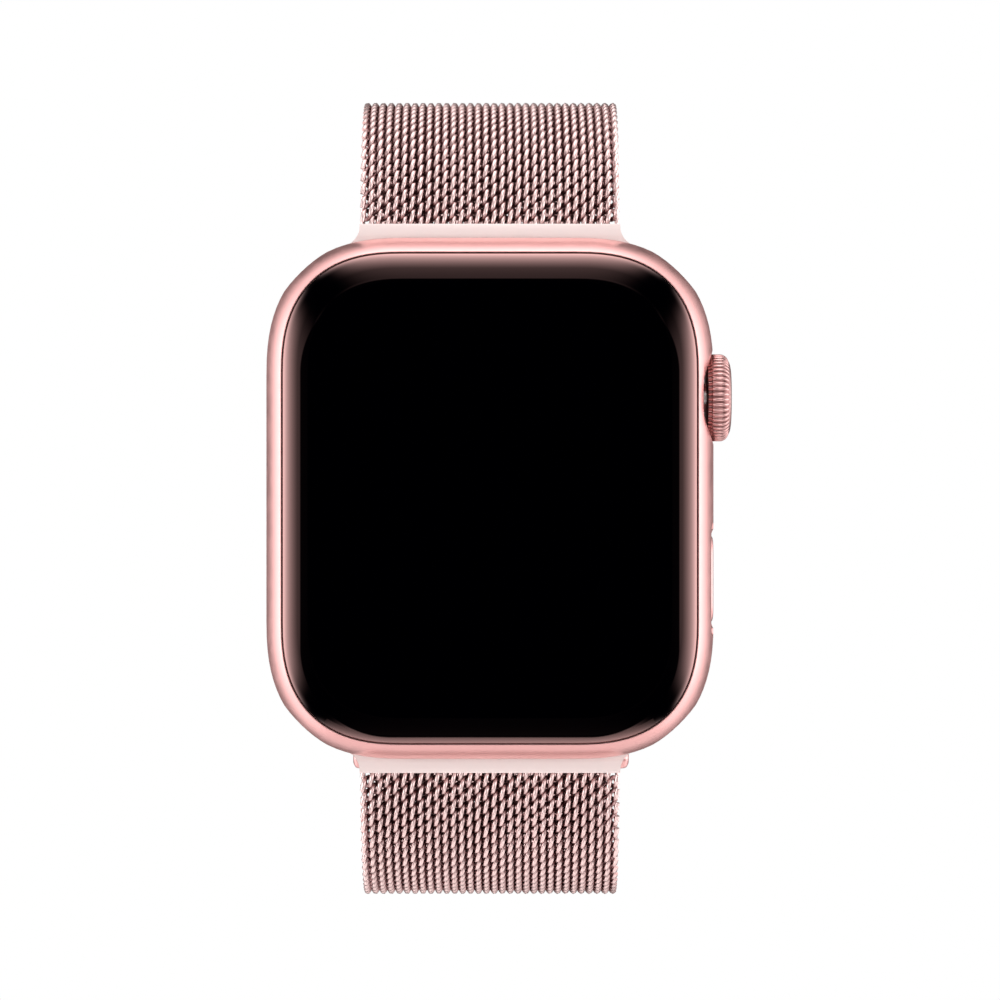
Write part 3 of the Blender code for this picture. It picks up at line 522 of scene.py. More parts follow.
def openingCutters():
    # the glass seat, the display's pocket, the cavity and the rear cover's recess and hole
    floor, displayFloor = caseCuts["glassPocketFloor"], caseCuts["displayFloor"]
    front, rear = watchCase["seamY"] - 2 * mm, 0.4 * mm
    cuts = [cutter([caseRing(watchCase["seamInset"], y) for y in (front, floor)])]
    pockets = (
        ("display", 10, (floor - 2 * mm, displayFloor)),
        ("cavity", 8, (displayFloor - 0.5 * mm, caseCuts["cavityFloor"])),
        ("rearRecess", 16, (caseCuts["rearRecessFloor"], rear)),
    )
    for label, steps, levels in pockets:
        outline = roundedOutline(*caseCuts[label + "Half"], caseCuts[label + "Corner"], steps)
        cuts.append(prism(outline, levels))
    cuts.append(rodCutter(caseCuts["rearHole"], -5.2 * mm, rear, (0, 0, 0), "Y"))
    return cuts


def channelCutters(reach):
    cuts, half = [], watchCase["channelMouth"] / 2
    for side in (1, -1):
        centre = (0, middleY, channelZ(side))
        cuts.append(rodCutter(watchCase["channelRadius"], -reach, reach, centre, "X", 48))
        low, high = sorted((channelZ(side), side * (halfHeight + 3 * mm)))
        mouth = box((-reach, middleY - half, low), (reach, middleY + half, high))
        cuts.append(pieceFrom("cut", mouth, satin))
        cuts.append(prism(releaseOutline(side, caseCuts["releaseGap"]), (-4.6 * mm, -0.6 * mm)))
    return cuts


def sideCutters(reach):
    # the crown's well and bore, the side button's pocket, dish and stem hole, and the sound holes
    wallX, outsideX = 15.5 * mm, 20 * mm
    centre = (0, middleY, crown["z"])
    well = crownFaceX() - crown["travel"] - crown["floorGap"]
    cuts = [rodCutter(crown["radius"] + crown["wellGap"], well, reach, centre, "X")]
    cuts.append(rodCutter(crown["bore"], wallX, reach, centre, "X", 48))
    centreZ, (endGap, sideGap) = sideButton["z"], sideButton["gaps"]
    floor = halfWidth - sideButton["sunk"] - sideButton["thick"] - sideButton["travel"] - 0.2 * mm
    flat = pill(sideButton["length"] + 2 * endGap, sideButton["width"] + 2 * sideGap)
    cuts.append(sidePrism(flat, centreZ, (floor, reach)))
    dish, rings = sideButton["dish"], []
    for depth, grow in ((dish["depth"], 0.0), (0.75 * dish["depth"], 0.2 * mm), (-1 * mm, 0.32 * mm)):
        flat = pill(dish["length"] + 2 * grow, dish["width"] + 2 * grow)
        shift = middleY + dish["shift"] - grow
        rings.append([(halfWidth - depth, shift + across, centreZ + along) for across, along in flat])
    cuts.append(cutter(rings))
    stemHole = sideButton["stem"] + 0.15 * mm
    cuts.append(rodCutter(stemHole, wallX, halfWidth, (0, middleY, centreZ), "X", 32))
    for offset in (-0.5, 0.5):
        slotZ = caseCuts["soundZ"] + offset * caseCuts["speakerSpacing"]
        cuts.append(sidePrism(pill(*caseCuts["speakerSlot"]), slotZ, (-outsideX, -wallX)))
    centre = (0, middleY, caseCuts["soundZ"])
    cuts.append(rodCutter(caseCuts["microphoneHole"], wallX, outsideX, centre, "X", 32))
    return cuts


def caseLevels(steps):
    # Y of each ring, closer together towards the glass and the wrist
    shares = [math.sin(math.pi / 2 * i / steps) for i in range(steps + 1)]
    front = [middleY + (watchCase["seamY"] - middleY) * share for share in reversed(shares[1:])]
    return front + [middleY + (watchCase["rearY"] - middleY) * share for share in shares]


def makeCase():
    steps, straightSteps = 16, 24
    rings = [caseRing(sideInset(y), y, straightSteps) for y in caseLevels(steps)]
    piece = pieceFrom("caseBody", loft(rings), satin)
    reach = halfWidth + 4 * mm
    combine(piece, "DIFFERENCE", openingCutters() + channelCutters(reach) + sideCutters(reach))
    breakEdges(piece, watchCase["edgeBreak"])
    enlist(piece, "case_metal", "case", "case")
    print("case made:", len(piece.data.polygons), "faces")


makeCase()

coverGlass = {
    "gap": 0.13 * mm,
    "edgeWidth": 2.2 * mm,
    "flatY": -10.7 * mm,
    "ledgeY": -9.25 * mm,
    "backY": -9.7 * mm,
    "hollowHalf": (15.95 * mm, 19.1 * mm),
    "edgeStart": 27,
    "edgeSteps": 18,
}


def makeGlass():
    rim = watchCase["seamInset"] + coverGlass["gap"]
    ledge, back = coverGlass["ledgeY"], coverGlass["backY"]
    hollow = roundedOutline(*coverGlass["hollowHalf"], caseCuts["displayCorner"])
    rings = [[(x, back, z) for x, z in hollow], [(x, ledge, z) for x, z in hollow]]
    rings += [caseRing(rim + 0.4 * mm, ledge), caseRing(rim, ledge - 0.1 * mm)]
    distances = [0.0] * 4
    start = math.radians(coverGlass["edgeStart"])
    rise = watchCase["seamY"] - coverGlass["flatY"]
    for i in range(coverGlass["edgeSteps"] + 1):
        turn = start + (math.pi / 2 - start) * i / coverGlass["edgeSteps"]
        inward = coverGlass["edgeWidth"] * (1 - math.cos(turn) / math.cos(start))
        lift = rise * (math.sin(turn) - math.sin(start)) / (1 - math.sin(start))
        rings.append(caseRing(rim + inward, watchCase["seamY"] - lift))
        distances.append(inward)
    around = len(rings[0])
    piece = pieceFrom("coverGlass", loft(rings), glass, 40)
    points = range(len(piece.data.vertices))
    addValues(piece, "fromRim", [distances[i // around] for i in points])
    # 0 where the outline is straight, 1 where it faces halfway between two sides
    facing = []
    for i in range(around):
        before, after = rings[3][i - 1], rings[3][(i + 1) % around]
        across, along = after[0] - before[0], after[2] - before[2]
        facing.append(1 - abs(across**2 - along**2) / (across**2 + along**2))
    addValues(piece, "roundCorner", [facing[i % around] for i in points])
    enlist(piece, "glass", "case", "front_glass")
    print("cover glass made")


makeGlass()


def ribbedKnobTree():
    # Sweeps one rib outline round the crown's axis and joins the ribs to the turned core.
    inputs = {"Core": "Geometry", "Rib": "Object", "Rib Count": "Int", "Axis Point": "Vector"}
    tree, given = startTree("ribbedKnob", inputs | {"Finish": "Material"}, "Knob")
    rib = addNode(tree, "GeometryNodeObjectInfo", {}, {"Object": given["Rib"]})
    inputs = {"Count": given["Rib Count"], "Start Location": given["Axis Point"], "Offset": (0, 0, 0)}
    points = addNode(tree, "GeometryNodeMeshLine", {"mode": "OFFSET"}, inputs)
    index = addNode(tree, "GeometryNodeInputIndex").outputs["Index"]
    step = mathNode(tree, "DIVIDE", 2 * math.pi, given["Rib Count"])
    turn = mathNode(tree, "MULTIPLY", index, step)
    spin = addNode(tree, "ShaderNodeCombineXYZ", {}, {"X": turn}).outputs[0]
    inputs = {"Points": points.outputs["Mesh"], "Instance": rib.outputs["Geometry"], "Rotation": spin}
    placed = addNode(tree, "GeometryNodeInstanceOnPoints", {}, inputs)
    joined = addNode(tree, "GeometryNodeJoinGeometry")
    tree.links.new(placed.outputs["Instances"], joined.inputs[0])
    tree.links.new(given["Core"], joined.inputs[0])
    real = addNode(tree, "GeometryNodeRealizeInstances", {}, {"Geometry": joined.outputs[0]})
    inputs = {"Geometry": real.outputs["Geometry"], "Material": given["Finish"]}
    dressed = addNode(tree, "GeometryNodeSetMaterial", {}, inputs)
    addNode(tree, "NodeGroupOutput", {}, {0: dressed.outputs["Geometry"]})
    return tree


def makeCrown():
    centre = Vector((0, middleY, crown["z"]))
    face, radius = crownFaceX(), crown["radius"]
    end = face + crown["width"]
    root = radius - crown["ribHeight"]
    collar, collarEnd = crown["collarRadius"], face + crown["collarWidth"]
    wide, deep = crown["shoulder"]
    seat = crown["capRadius"] + 0.05 * mm
    rimX = end - 0.08 * mm
    profile = [(1.25 * mm, face + 1.0 * mm), (1.25 * mm, face)]
    profile += [(collar - 0.15 * mm, face), (collar, face + 0.1 * mm)]
    profile += [(collar + 0.02 * mm, collarEnd), (root, collarEnd + 0.06 * mm)]
    for i in range(13):
        turn = math.pi / 2 * i / 12
        fall = (deep - crown["ribHeight"]) * (1 - math.cos(turn))
        profile.append((root - fall, rimX - wide + wide * math.sin(turn)))
    profile += [(seat, rimX - 0.03 * mm), (seat, rimX - 0.35 * mm)]
    core = pieceFrom("crownKnob", revolve(profile, centre, "X", crown["ribs"] * 2), knurled, 50)
    # painted shade: the outer rim keeps full colour, the rest of the core is painted as groove shade
    addValues(core, "crest", [1.0 if v.co.x > rimX - 0.22 * mm else 0.0 for v in core.data.vertices])

    # one rib lies along the crown's rim and rolls over its shoulder
    path = [(face + 0.03 * mm, collar), (face + 0.1 * mm, collar + 0.12 * mm)]
    path += [(collarEnd - 0.06 * mm, collar + 0.16 * mm), (collarEnd + 0.03 * mm, radius - 0.1 * mm)]
    path += [(collarEnd + 0.12 * mm, radius)]
    for i in range(9):
        turn = math.radians(64) * i / 8
        lift = 1 if i < 6 else 1 - (i - 5) / 3
        r = radius - deep * (1 - math.cos(turn)) - crown["ribHeight"] * 0.9 * (1 - lift)
        path.append((rimX - wide + wide * math.sin(turn), r))
    half = math.pi * radius / crown["ribs"] * 0.84
    section = [(-1.0, -0.19), (-0.7, -0.05), (-0.28, 0.0), (0.28, 0.0), (0.7, -0.05), (1.0, -0.19)]
    rings = []
    for i, (x, r) in enumerate(path):
        before, after = path[max(i - 1, 0)], path[min(i + 1, len(path) - 1)]
        run = Vector((after[0] - before[0], after[1] - before[1])).normalized()
        out = Vector((-run.y, run.x))
        narrow = half * r / radius
        raised = [(out * lift * mm, across * narrow) for across, lift in section]
        rings.append([(x + shift.x, across, r + shift.y) for shift, across in raised])
    ribShape = bmesh.new()
    rows = [[ribShape.verts.new(p) for p in ring] for ring in rings]
    for first, second in zip(rows, rows[1:]):
        for i in range(len(section) - 1):
            ribShape.faces.new((first[i], first[i + 1], second[i + 1], second[i]))
    ribShape.faces.new(rows[0])
    ribShape.faces.new(rows[-1])
    rib = pieceFrom("rib", ribShape, knurled, 60)
    # painted shade down the rib's sides and towards its foot at the collar
    across = (0.0, 0.55, 1.0, 1.0, 0.55, 0.0)
    along = [0.05, 0.2, 0.3, 0.6] + [1.0] * (len(path) - 4)
    addValues(rib, "crest", [a * b for b in along for a in across])
    values = {"Rib": rib, "Rib Count": crown["ribs"], "Axis Point": centre, "Finish": knurled}
    addTree(core, ribbedKnobTree(), values)
    bakeModifiers(core)
    bpy.data.objects.remove(rib)
    enlist(core, "case_metal", "crown", "crown_knob")

    size = crown["capRadius"]
    rings = [(size, rimX - 0.3 * mm), (size, rimX - 0.04 * mm)]
    rings += [(size * math.cos(t), rimX + 0.08 * mm * math.sin(t)) for t in (0.2, 0.45, 0.8, 1.2, 1.5)]
    cap = pieceFrom("crownCap", revolve(rings, centre, "X"), steel)
    enlist(cap, "steel", "crown", "crown_electrode")
    print("crown made:", len(core.data.polygons), "faces")


makeCrown()


def makeSideButton():
    face, lip = halfWidth - sideButton["sunk"], 0.3 * mm
    back = face - sideButton["thick"]
    rings = [sidePill(back, 0.06 * mm), sidePill(back + 0.06 * mm), sidePill(face - lip)]
    for i in range(1, 7):
        turn = math.pi / 2 * i / 6
        rings.append(sidePill(face - lip + lip * math.sin(turn), 0.45 * mm * (1 - math.cos(turn))))
    piece = pieceFrom("sideButtonCap", loft(rings), satin, 50)
    centre = (0, middleY, sideButton["z"])
    combine(piece, "UNION", [rodCutter(sideButton["stem"], 16.2 * mm, back + 0.2 * mm, centre, "X", 32)], 40)
    enlist(piece, "case_metal", "side_button", "side_button")


def makeReleaseButtons():
    lip = 0.2 * mm
    for side, label in ((1, "upper"), (-1, "lower")):
        low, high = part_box(f"{label}_release_button")
        levels = [(low.y, 0.05 * mm), (low.y + 0.05 * mm, 0.0), (high.y - lip, 0.0)]
        for i in range(1, 6):
            turn = math.pi / 2 * i / 5
            levels.append((high.y - lip + lip * math.sin(turn), 0.22 * mm * (1 - math.cos(turn))))
        rings = [[(x, y, z) for x, z in releaseOutline(side, -shrink)] for y, shrink in levels]
        piece = pieceFrom(f"{label}ReleaseButton", loft(rings), satin, 50)
        enlist(piece, "case_metal", f"{label}_release", f"{label}_release_button")


makeSideButton()
makeReleaseButtons()
print("buttons made")

rearSide = {
    "coverHalf": (15.35 * mm, 16.65 * mm),
    "coverCorner": 9.0 * mm,
    "coverLevels": (-2.1 * mm, -1.25 * mm),
    "coverEdge": ((0.3, 0.0), (0.14, 0.06), (0.04, 0.17), (0.0, 0.32)),  # depth and inset, in mm
    "crystalRadius": 12.2 * mm,
    "crystalFlat": 5.0 * mm,
    "crystalEdgeY": -1.2 * mm,
    "crystalBackY": -2.1 * mm,
}


def makeRear():
    inner, outer = rearSide["coverLevels"]
    rings = []
    for y, inset in [(inner, 0.0)] + [(outer - depth * mm, inset) for depth, inset in rearSide["coverEdge"]]:
        halfX, halfZ = (half - inset * mm for half in rearSide["coverHalf"])
        rings.append([(x, y, z) for x, z in roundedOutline(halfX, halfZ, rearSide["coverCorner"])])
    cover = pieceFrom("rearCover", loft(rings), ceramic)
    hole = rodCutter(rearSide["crystalRadius"] + 0.2 * mm, -3 * mm, 0, (0, 0, 0), "Y")
    combine(cover, "DIFFERENCE", [hole])
    breakEdges(cover, 0.05 * mm)
    enlist(cover, "ceramic", "case", "rear_cover")

    radius, flat = rearSide["crystalRadius"], rearSide["crystalFlat"]
    profile = [(radius - 0.05 * mm, rearSide["crystalBackY"]), (radius, rearSide["crystalBackY"] + 0.05 * mm)]
    for i in range(19):
        t = 1 - i / 18
        profile.append((flat + (radius - flat) * t, rearSide["crystalEdgeY"] * t * t))
    dome = pieceFrom("rearCrystal", revolve(profile, (0, 0, 0), "Y", 128), crystal, 50)
    enlist(dome, "crystal", "case", "rear_crystal")
    print("rear made")


# seen through the crystal: middle radius, half width and soft edge of each round band
sensors = {
    "ring": (9.4 * mm, 0.55 * mm, 0.05 * mm),
    "windows": (5.6 * mm, 1.15 * mm, 0.08 * mm),
    "centre": (0.0, 2.2 * mm, 0.08 * mm),
    "ribs": (0.08, 0.1),  # half width between windows, in eighths of a turn, and where it ends
    "colors": ("#09090B", "#2B2320", "#4A4748"),
}


def dressCrystal():
    # a metal-coated ring, and eight sensor windows round a centre one
    tree = crystal.node_tree
    shader = tree.nodes["Principled BSDF"]
    place = addNode(tree, "ShaderNodeTexCoord").outputs["Object"]
    parts = addNode(tree, "ShaderNodeSeparateXYZ", {}, {"Vector": place}).outputs
    flat = addNode(tree, "ShaderNodeCombineXYZ", {}, {"X": parts["X"], "Y": parts["Z"]}).outputs["Vector"]
    radius = addNode(tree, "ShaderNodeVectorMath", {"operation": "LENGTH"}, {0: flat}).outputs["Value"]
    eighths = mathNode(tree, "MULTIPLY", mathNode(tree, "ARCTAN2", parts["Z"], parts["X"]), 4 / math.pi)

    def roundBand(centre, half, soft):
        apart = mathNode(tree, "ABSOLUTE", mathNode(tree, "SUBTRACT", radius, centre))
        return rampNode(tree, apart, half, half + soft, 1.0, 0.0, "SMOOTHSTEP")

    def mixColors(share, first, second):
        inputs = {"Factor": share, 6: first, 7: second}
        return addNode(tree, "ShaderNodeMix", {"data_type": "RGBA"}, inputs).outputs[2]

    ring = roundBand(*sensors["ring"])
    low, high = sensors["ribs"]
    gaps = rampNode(tree, mathNode(tree, "PINGPONG", eighths, 0.5), low, high, 0.0, 1.0, "SMOOTHSTEP")
    cells = mathNode(tree, "MULTIPLY", roundBand(*sensors["windows"]), gaps)
    cells = mathNode(tree, "MAXIMUM", cells, roundBand(*sensors["centre"]))
    plain, window, metal = (linearColor(code) for code in sensors["colors"])
    color = mixColors(ring, mixColors(cells, plain, window), metal)
    tree.links.new(color, shader.inputs["Base Color"])
    tree.links.new(mathNode(tree, "MULTIPLY", ring, 0.8), shader.inputs["Metallic"])


makeRear()
dressCrystal()

lug = {
    "bandWidth": 22.0 * mm,
    "neck": 1.8 * mm,
    "reach": 1.35 * mm,  # to where the band's path begins
    "visibleReach": 1.12 * mm,
    "flare": 2.0 * mm,
    "railRadius": 1.65 * mm,
    "crown": 0.18 * mm,
    "crownRadius": 4.1 * mm,
    "sunk": 0.3 * mm,  # how far the rail's ends lie inside the case's side
    "pinPocket": 0.75 * mm,
    "edgeBreak": 0.12 * mm,
}


def lugOutline(side, steps=16):
    half, end = lug["bandWidth"] / 2, halfHeight + lug["visibleReach"]
    flareTop, flareLow = end - 0.25 * mm, halfHeight - 0.9 * mm
    wide, right = half + lug["flare"], [(half, end)]
    for i in range(steps + 1):
        turn = math.pi / 2 * i / steps
        z = flareTop - (flareTop - flareLow) * math.sin(turn)
        right.append((half + lug["flare"] * (1 - math.cos(turn)), z))
    right.append((wide, channelZ(1)))
    return [(x, side * z) for x, z in right + [(-x, z) for x, z in reversed(right)]]


def lugCrown(side):
    # the plate's front face rises to just outside the case, then curves back to the band
    front, rear = middleY - lug["neck"] / 2, middleY + lug["neck"]
    end, run = halfHeight + lug["visibleReach"], 1.05 * mm
    root = channelZ(1) - 1 * mm
    profile = [(rear, end + 1 * mm), (rear, root), (front, root), (front, end - 2.6 * mm)]
    for i in range(9):
        along = run * i / 8
        drop = lug["crownRadius"] - math.sqrt(lug["crownRadius"] ** 2 - along**2)
        profile.append((front - lug["crown"] + drop, end - run + along))
    profile.append((front + 0.3 * mm, end + 1 * mm))
    return [[(x, y, side * z) for y, z in profile] for x in (-15 * mm, 15 * mm)]


def makeLugs():
    half, reach = lug["neck"] / 2, halfWidth + 1 * mm
    for side, label in ((1, "upper"), (-1, "lower")):
        centre = (0, middleY, channelZ(side))
        piece = pieceFrom(f"{label}LugBody", rod(lug["railRadius"], -reach, reach, centre, "X", 64), lugSteelPaintedBright)
        flush = cutter([caseRing(sideInset(y) + lug["sunk"], y) for y in caseLevels(12)])
        combine(piece, "INTERSECT", [flush])
        plate = prism(lugOutline(side), (middleY - half - lug["crown"], middleY + half))
        combine(plate, "INTERSECT", [cutter(lugCrown(side))])
        combine(piece, "UNION", [plate])
        pocket = rodCutter(lug["pinPocket"], middleY, middleY + 2 * mm, (0, 0, channelZ(side)), "Y", 40)
        combine(piece, "DIFFERENCE", [pocket])
        breakEdges(piece, lug["edgeBreak"], 3)
        enlist(piece, "case_metal", f"{label}_lug", f"{label}_lug")
    print("lugs made")


makeLugs()

band = {
    "width": 22.0 * mm,
    "thick": 1.6 * mm,
    "lean": 8.0,
    "lugBend": (11.5 * mm, 60.0),
    "topBend": 16.0 * mm,
    "depth": 47.0 * mm,
    "keeperBar": 1.8 * mm,
    "keeperSlot": 2.7 * mm,
    "foldGap": 0.3 * mm,
    "layerGap": 0.2 * mm,
    "mergeRun": 9.0 * mm,
    "tail": 6.5 * mm,
    "claspFromBar": 6.8 * mm,
    "claspLength": 10.5 * mm,
    "claspThick": 2.1 * mm,
}
weave = {
    "start": -0.295 * mm,  # the first row's place on the band's path, inside the lug's plate
    "rowPitch": 0.585 * mm,
    "turns": 16,
    "wireRadius": 0.205 * mm,
    "coilHalf": 0.66 * mm,  # half the coil's length along the band
    "squareness": 2.9,
    "endTrim": 0.15,  # of a turn, cut off each end so that the band's edges are even
    "lag": 0.55,  # how much less the wire advances on the band's faces than inside it
    "turnSteps": 12,
    "wireSides": 6,
    "insideSteps": 400,  # of the lower strap's path, up to the keeper's bar
    "shadeHeights": (0.28, 0.46),  # from the middle, of the thickness, over which the wire brightens
    "shadeEdge": (0.95, 0.985),  # of the half width
}


def halfLoop():
    # (y, z) points from the upper lug over the top to the middle of the rear
    steps = 160
    lean, end = math.radians(band["lean"]), math.radians(band["lugBend"][1])
    points = [(middleY, halfHeight + lug["reach"])]
    for radius, start, stop in ((band["lugBend"][0], lean, end), (band["topBend"], end, math.pi / 2)):
        first = points[-1]
        for i in range(1, steps + 1):
            a = start + (stop - start) * i / steps
            outward, along = math.cos(start) - math.cos(a), math.sin(a) - math.sin(start)
            points.append((first[0] + radius * outward, first[1] + radius * along))
    top = points[-1]
    for i in range(1, 2 * steps + 1):
        a = math.pi / 2 * i / (2 * steps)
        points.append((top[0] + (band["depth"] - top[0]) * math.sin(a), top[1] * math.cos(a)))
    return points


upperHalf = halfLoop()
loopPath = upperHalf + [(y, -z) for y, z in reversed(upperHalf[:-1])]
loopRun = [0.0]
for a, b in zip(loopPath, loopPath[1:]):
    loopRun.append(loopRun[-1] + math.dist(a, b))
loopLength = loopRun[-1]


def alongLoop(s):
    # place, direction and outward direction at arc length s, each as (y, z)
    low, high = 1, len(loopRun) - 1
    while low < high:
        middle = (low + high) // 2
        if loopRun[middle] < s:
            low = middle + 1
        else:
            high = middle
    a, b = Vector(loopPath[low - 1]), Vector(loopPath[low])
    way = (b - a).normalized()
    return a + way * (s - loopRun[low - 1]), way, Vector((-way.y, way.x))


def hingePoint(joint):
    found = next(j for j in frame["joints"] if j["name"] == joint)
    return Vector(found["pos_m"])


def nearestRun(point):
    # arc length of the loop's point nearest to a hinge
    spot = Vector((point.y, point.z))
    best = min(range(len(loopPath)), key=lambda i: (Vector(loopPath[i]) - spot).length)
    a, way, _ = alongLoop(loopRun[best])
    return loopRun[best] + (spot - a).dot(way)


rearHinge = nearestRun(hingePoint("rear_strap_flex"))
barHinge = nearestRun(hingePoint("tail_peel"))
foldRadius = band["keeperBar"] / 2 + band["foldGap"] + band["thick"] / 2
print("loop length", round(loopLength * 1000, 1), "mm, keeper bar at", round(barHinge * 1000, 1))


def closeUp(s):
    t = min(max(1 - (s - barHinge) / band["mergeRun"], 0.0), 1.0)
    return t * t * (3 - 2 * t)


def innerPoint(s):
    spot, _, out = alongLoop(s)
    return spot - out * foldRadius * closeUp(s)


def outerPoint(s):
    spot, _, out = alongLoop(s)
    apart = band["thick"] + band["layerGap"]
    return spot + out * (apart + (foldRadius - apart) * closeUp(s))


def polylineRun(points):
    run = [0.0]
    for a, b in zip(points, points[1:]):
        run.append(run[-1] + (b - a).length)
    return run


def lowerStrapPath():
    # from the lower lug, inside the keeper bar, round it and back along the outside
    count = weave["insideSteps"]
    inside = [innerPoint(loopLength + (barHinge - loopLength) * i / count) for i in range(count + 1)]
    centre, way, out = alongLoop(barHinge)
    turned = []
    for i in range(1, 61):
        a = math.pi * i / 60
        turned.append(centre + (-out * math.cos(a) - way * math.sin(a)) * foldRadius)
    back = [outerPoint(barHinge + band["tail"] * i / 80) for i in range(1, 81)]
    return inside + turned + back


def cutPath(points, run, start, stop, steps):
    # evenly spaced points between two arc lengths of a polyline
    made, k = [], 1
    for i in range(steps + 1):
        s = start + (stop - start) * i / steps
        while k < len(run) - 1 and run[k] < s:
            k += 1
        a, b = points[k - 1], points[k]
        share = (s - run[k - 1]) / max(run[k] - run[k - 1], 1e-12)
        made.append(a + (b - a) * share)
    return made


def coilLine():
    # One coil of wire, lying along X. Its section is a squarish oval, and it advances less on the
    # band's faces than inside.
    halfAlong, halfThick = weave["coilHalf"], band["thick"] / 2 - weave["wireRadius"]
    share, fine = 2 / weave["squareness"], 720
    oval = []
    for i in range(fine + 1):
        a = 2 * math.pi * i / fine
        c, d = math.cos(a), math.sin(a)
        y, z = (math.copysign(abs(value) ** share, value) for value in (d, c))
        oval.append((halfThick * y, halfAlong * z))
    run = [0.0]
    for first, second in zip(oval, oval[1:]):
        run.append(run[-1] + math.dist(first, second))
    turns, steps = weave["turns"], weave["turnSteps"]
    width = band["width"] - 2 * weave["wireRadius"]
    line = bpy.data.curves.new("coil", "CURVE")
    line.dimensions = "3D"
    spline = line.splines.new("POLY")
    spline.points.add(turns * steps)

    def advanceAt(turn):
        return turn + weave["lag"] * math.sin(4 * math.pi * turn) / (4 * math.pi)

    firstAdvance = advanceAt(weave["endTrim"])
    for i, point in enumerate(spline.points):
        turn = weave["endTrim"] + (turns - 2 * weave["endTrim"]) * i / (turns * steps)
        wanted = run[-1] * (turn % 1.0)
        y, z = oval[min(range(fine + 1), key=lambda j: abs(run[j] - wanted))]
        x = width * ((advanceAt(turn) - firstAdvance) / (turns - 2 * firstAdvance) - 0.5)
        point.co = (x, y, z, 1)
    coil = bpy.data.objects.new("coil", line)
    bpy.context.scene.collection.objects.link(coil)
    return coil


def wovenTree():
    # Coils of wire lie across the band, one for each row of the path. Each coil is half a turn
    # out of step with its neighbours, so the coils pass through each other.
    inputs = {"Path": "Geometry", "Coil": "Object", "Rows": "Int", "First Row": "Int"}
    inputs |= {"Wire Radius": "Float", "Wire Sides": "Int", "Thickness": "Float", "Half Width": "Float"}
    tree, given = startTree("wovenBand", inputs | {"Finish": "Material"}, "Band")
    coil = addNode(tree, "GeometryNodeObjectInfo", {}, {"Object": given["Coil"]}).outputs["Geometry"]
    inputs = {"Resolution": given["Wire Sides"], "Radius": given["Wire Radius"]}
    section = addNode(tree, "GeometryNodeCurvePrimitiveCircle", {}, inputs).outputs["Curve"]
    inputs = {"Curve": coil, "Profile Curve": section, "Fill Caps": True}
    row = addNode(tree, "GeometryNodeCurveToMesh", {}, inputs).outputs["Mesh"]

    # for the finish's painted shade: 0 inside the weave, where the wire is painted darker, 1 on the band's
    # faces and edges
    place = addNode(tree, "GeometryNodeInputPosition").outputs["Position"]
    parts = addNode(tree, "ShaderNodeSeparateXYZ", {}, {"Vector": place}).outputs
    height = mathNode(tree, "DIVIDE", mathNode(tree, "ABSOLUTE", parts["Y"]), given["Thickness"])
    across = mathNode(tree, "DIVIDE", mathNode(tree, "ABSOLUTE", parts["X"]), given["Half Width"])
    crest = rampNode(tree, height, *weave["shadeHeights"])
    outermost = mathNode(tree, "MAXIMUM", crest, rampNode(tree, across, *weave["shadeEdge"]))
    settings = {"data_type": "FLOAT", "domain": "POINT"}
    inputs = {"Geometry": row, "Name": "crest", "Value": outermost}
    marked = addNode(tree, "GeometryNodeStoreNamedAttribute", settings, inputs).outputs["Geometry"]

    inputs = {"Curve": given["Path"], "Count": given["Rows"]}
    spaced = addNode(tree, "GeometryNodeResampleCurve", {}, inputs).outputs["Curve"]
    way = addNode(tree, "GeometryNodeInputTangent").outputs["Tangent"]
    settings = {"primary_axis": "Z", "secondary_axis": "X"}
    facing = addNode(tree, "FunctionNodeAxesToRotation", settings, {0: way, 1: (1, 0, 0)}).outputs["Rotation"]
    index = addNode(tree, "GeometryNodeInputIndex").outputs["Index"]
    odd = mathNode(tree, "MODULO", mathNode(tree, "ADD", index, given["First Row"]), 2.0)
    roll = addNode(tree, "ShaderNodeCombineXYZ", {}, {"X": mathNode(tree, "MULTIPLY", odd, math.pi)})
    inputs = {"Rotation": facing, "Rotate By": roll.outputs["Vector"]}
    turned = addNode(tree, "FunctionNodeRotateRotation", {"rotation_space": "LOCAL"}, inputs)
    inputs = {"Points": spaced, "Instance": marked, "Rotation": turned.outputs["Rotation"]}
    placed = addNode(tree, "GeometryNodeInstanceOnPoints", {}, inputs).outputs["Instances"]
    real = addNode(tree, "GeometryNodeRealizeInstances", {}, {"Geometry": placed}).outputs["Geometry"]
    smooth = addNode(tree, "GeometryNodeSetShadeSmooth", {}, {"Geometry": real}).outputs["Geometry"]
    dressed = addNode(tree, "GeometryNodeSetMaterial", {}, {"Geometry": smooth, "Material": given["Finish"]})
    addNode(tree, "NodeGroupOutput", {}, {0: dressed.outputs["Geometry"]})
    return tree


wovenGroup = wovenTree()
coilObject = coilLine()


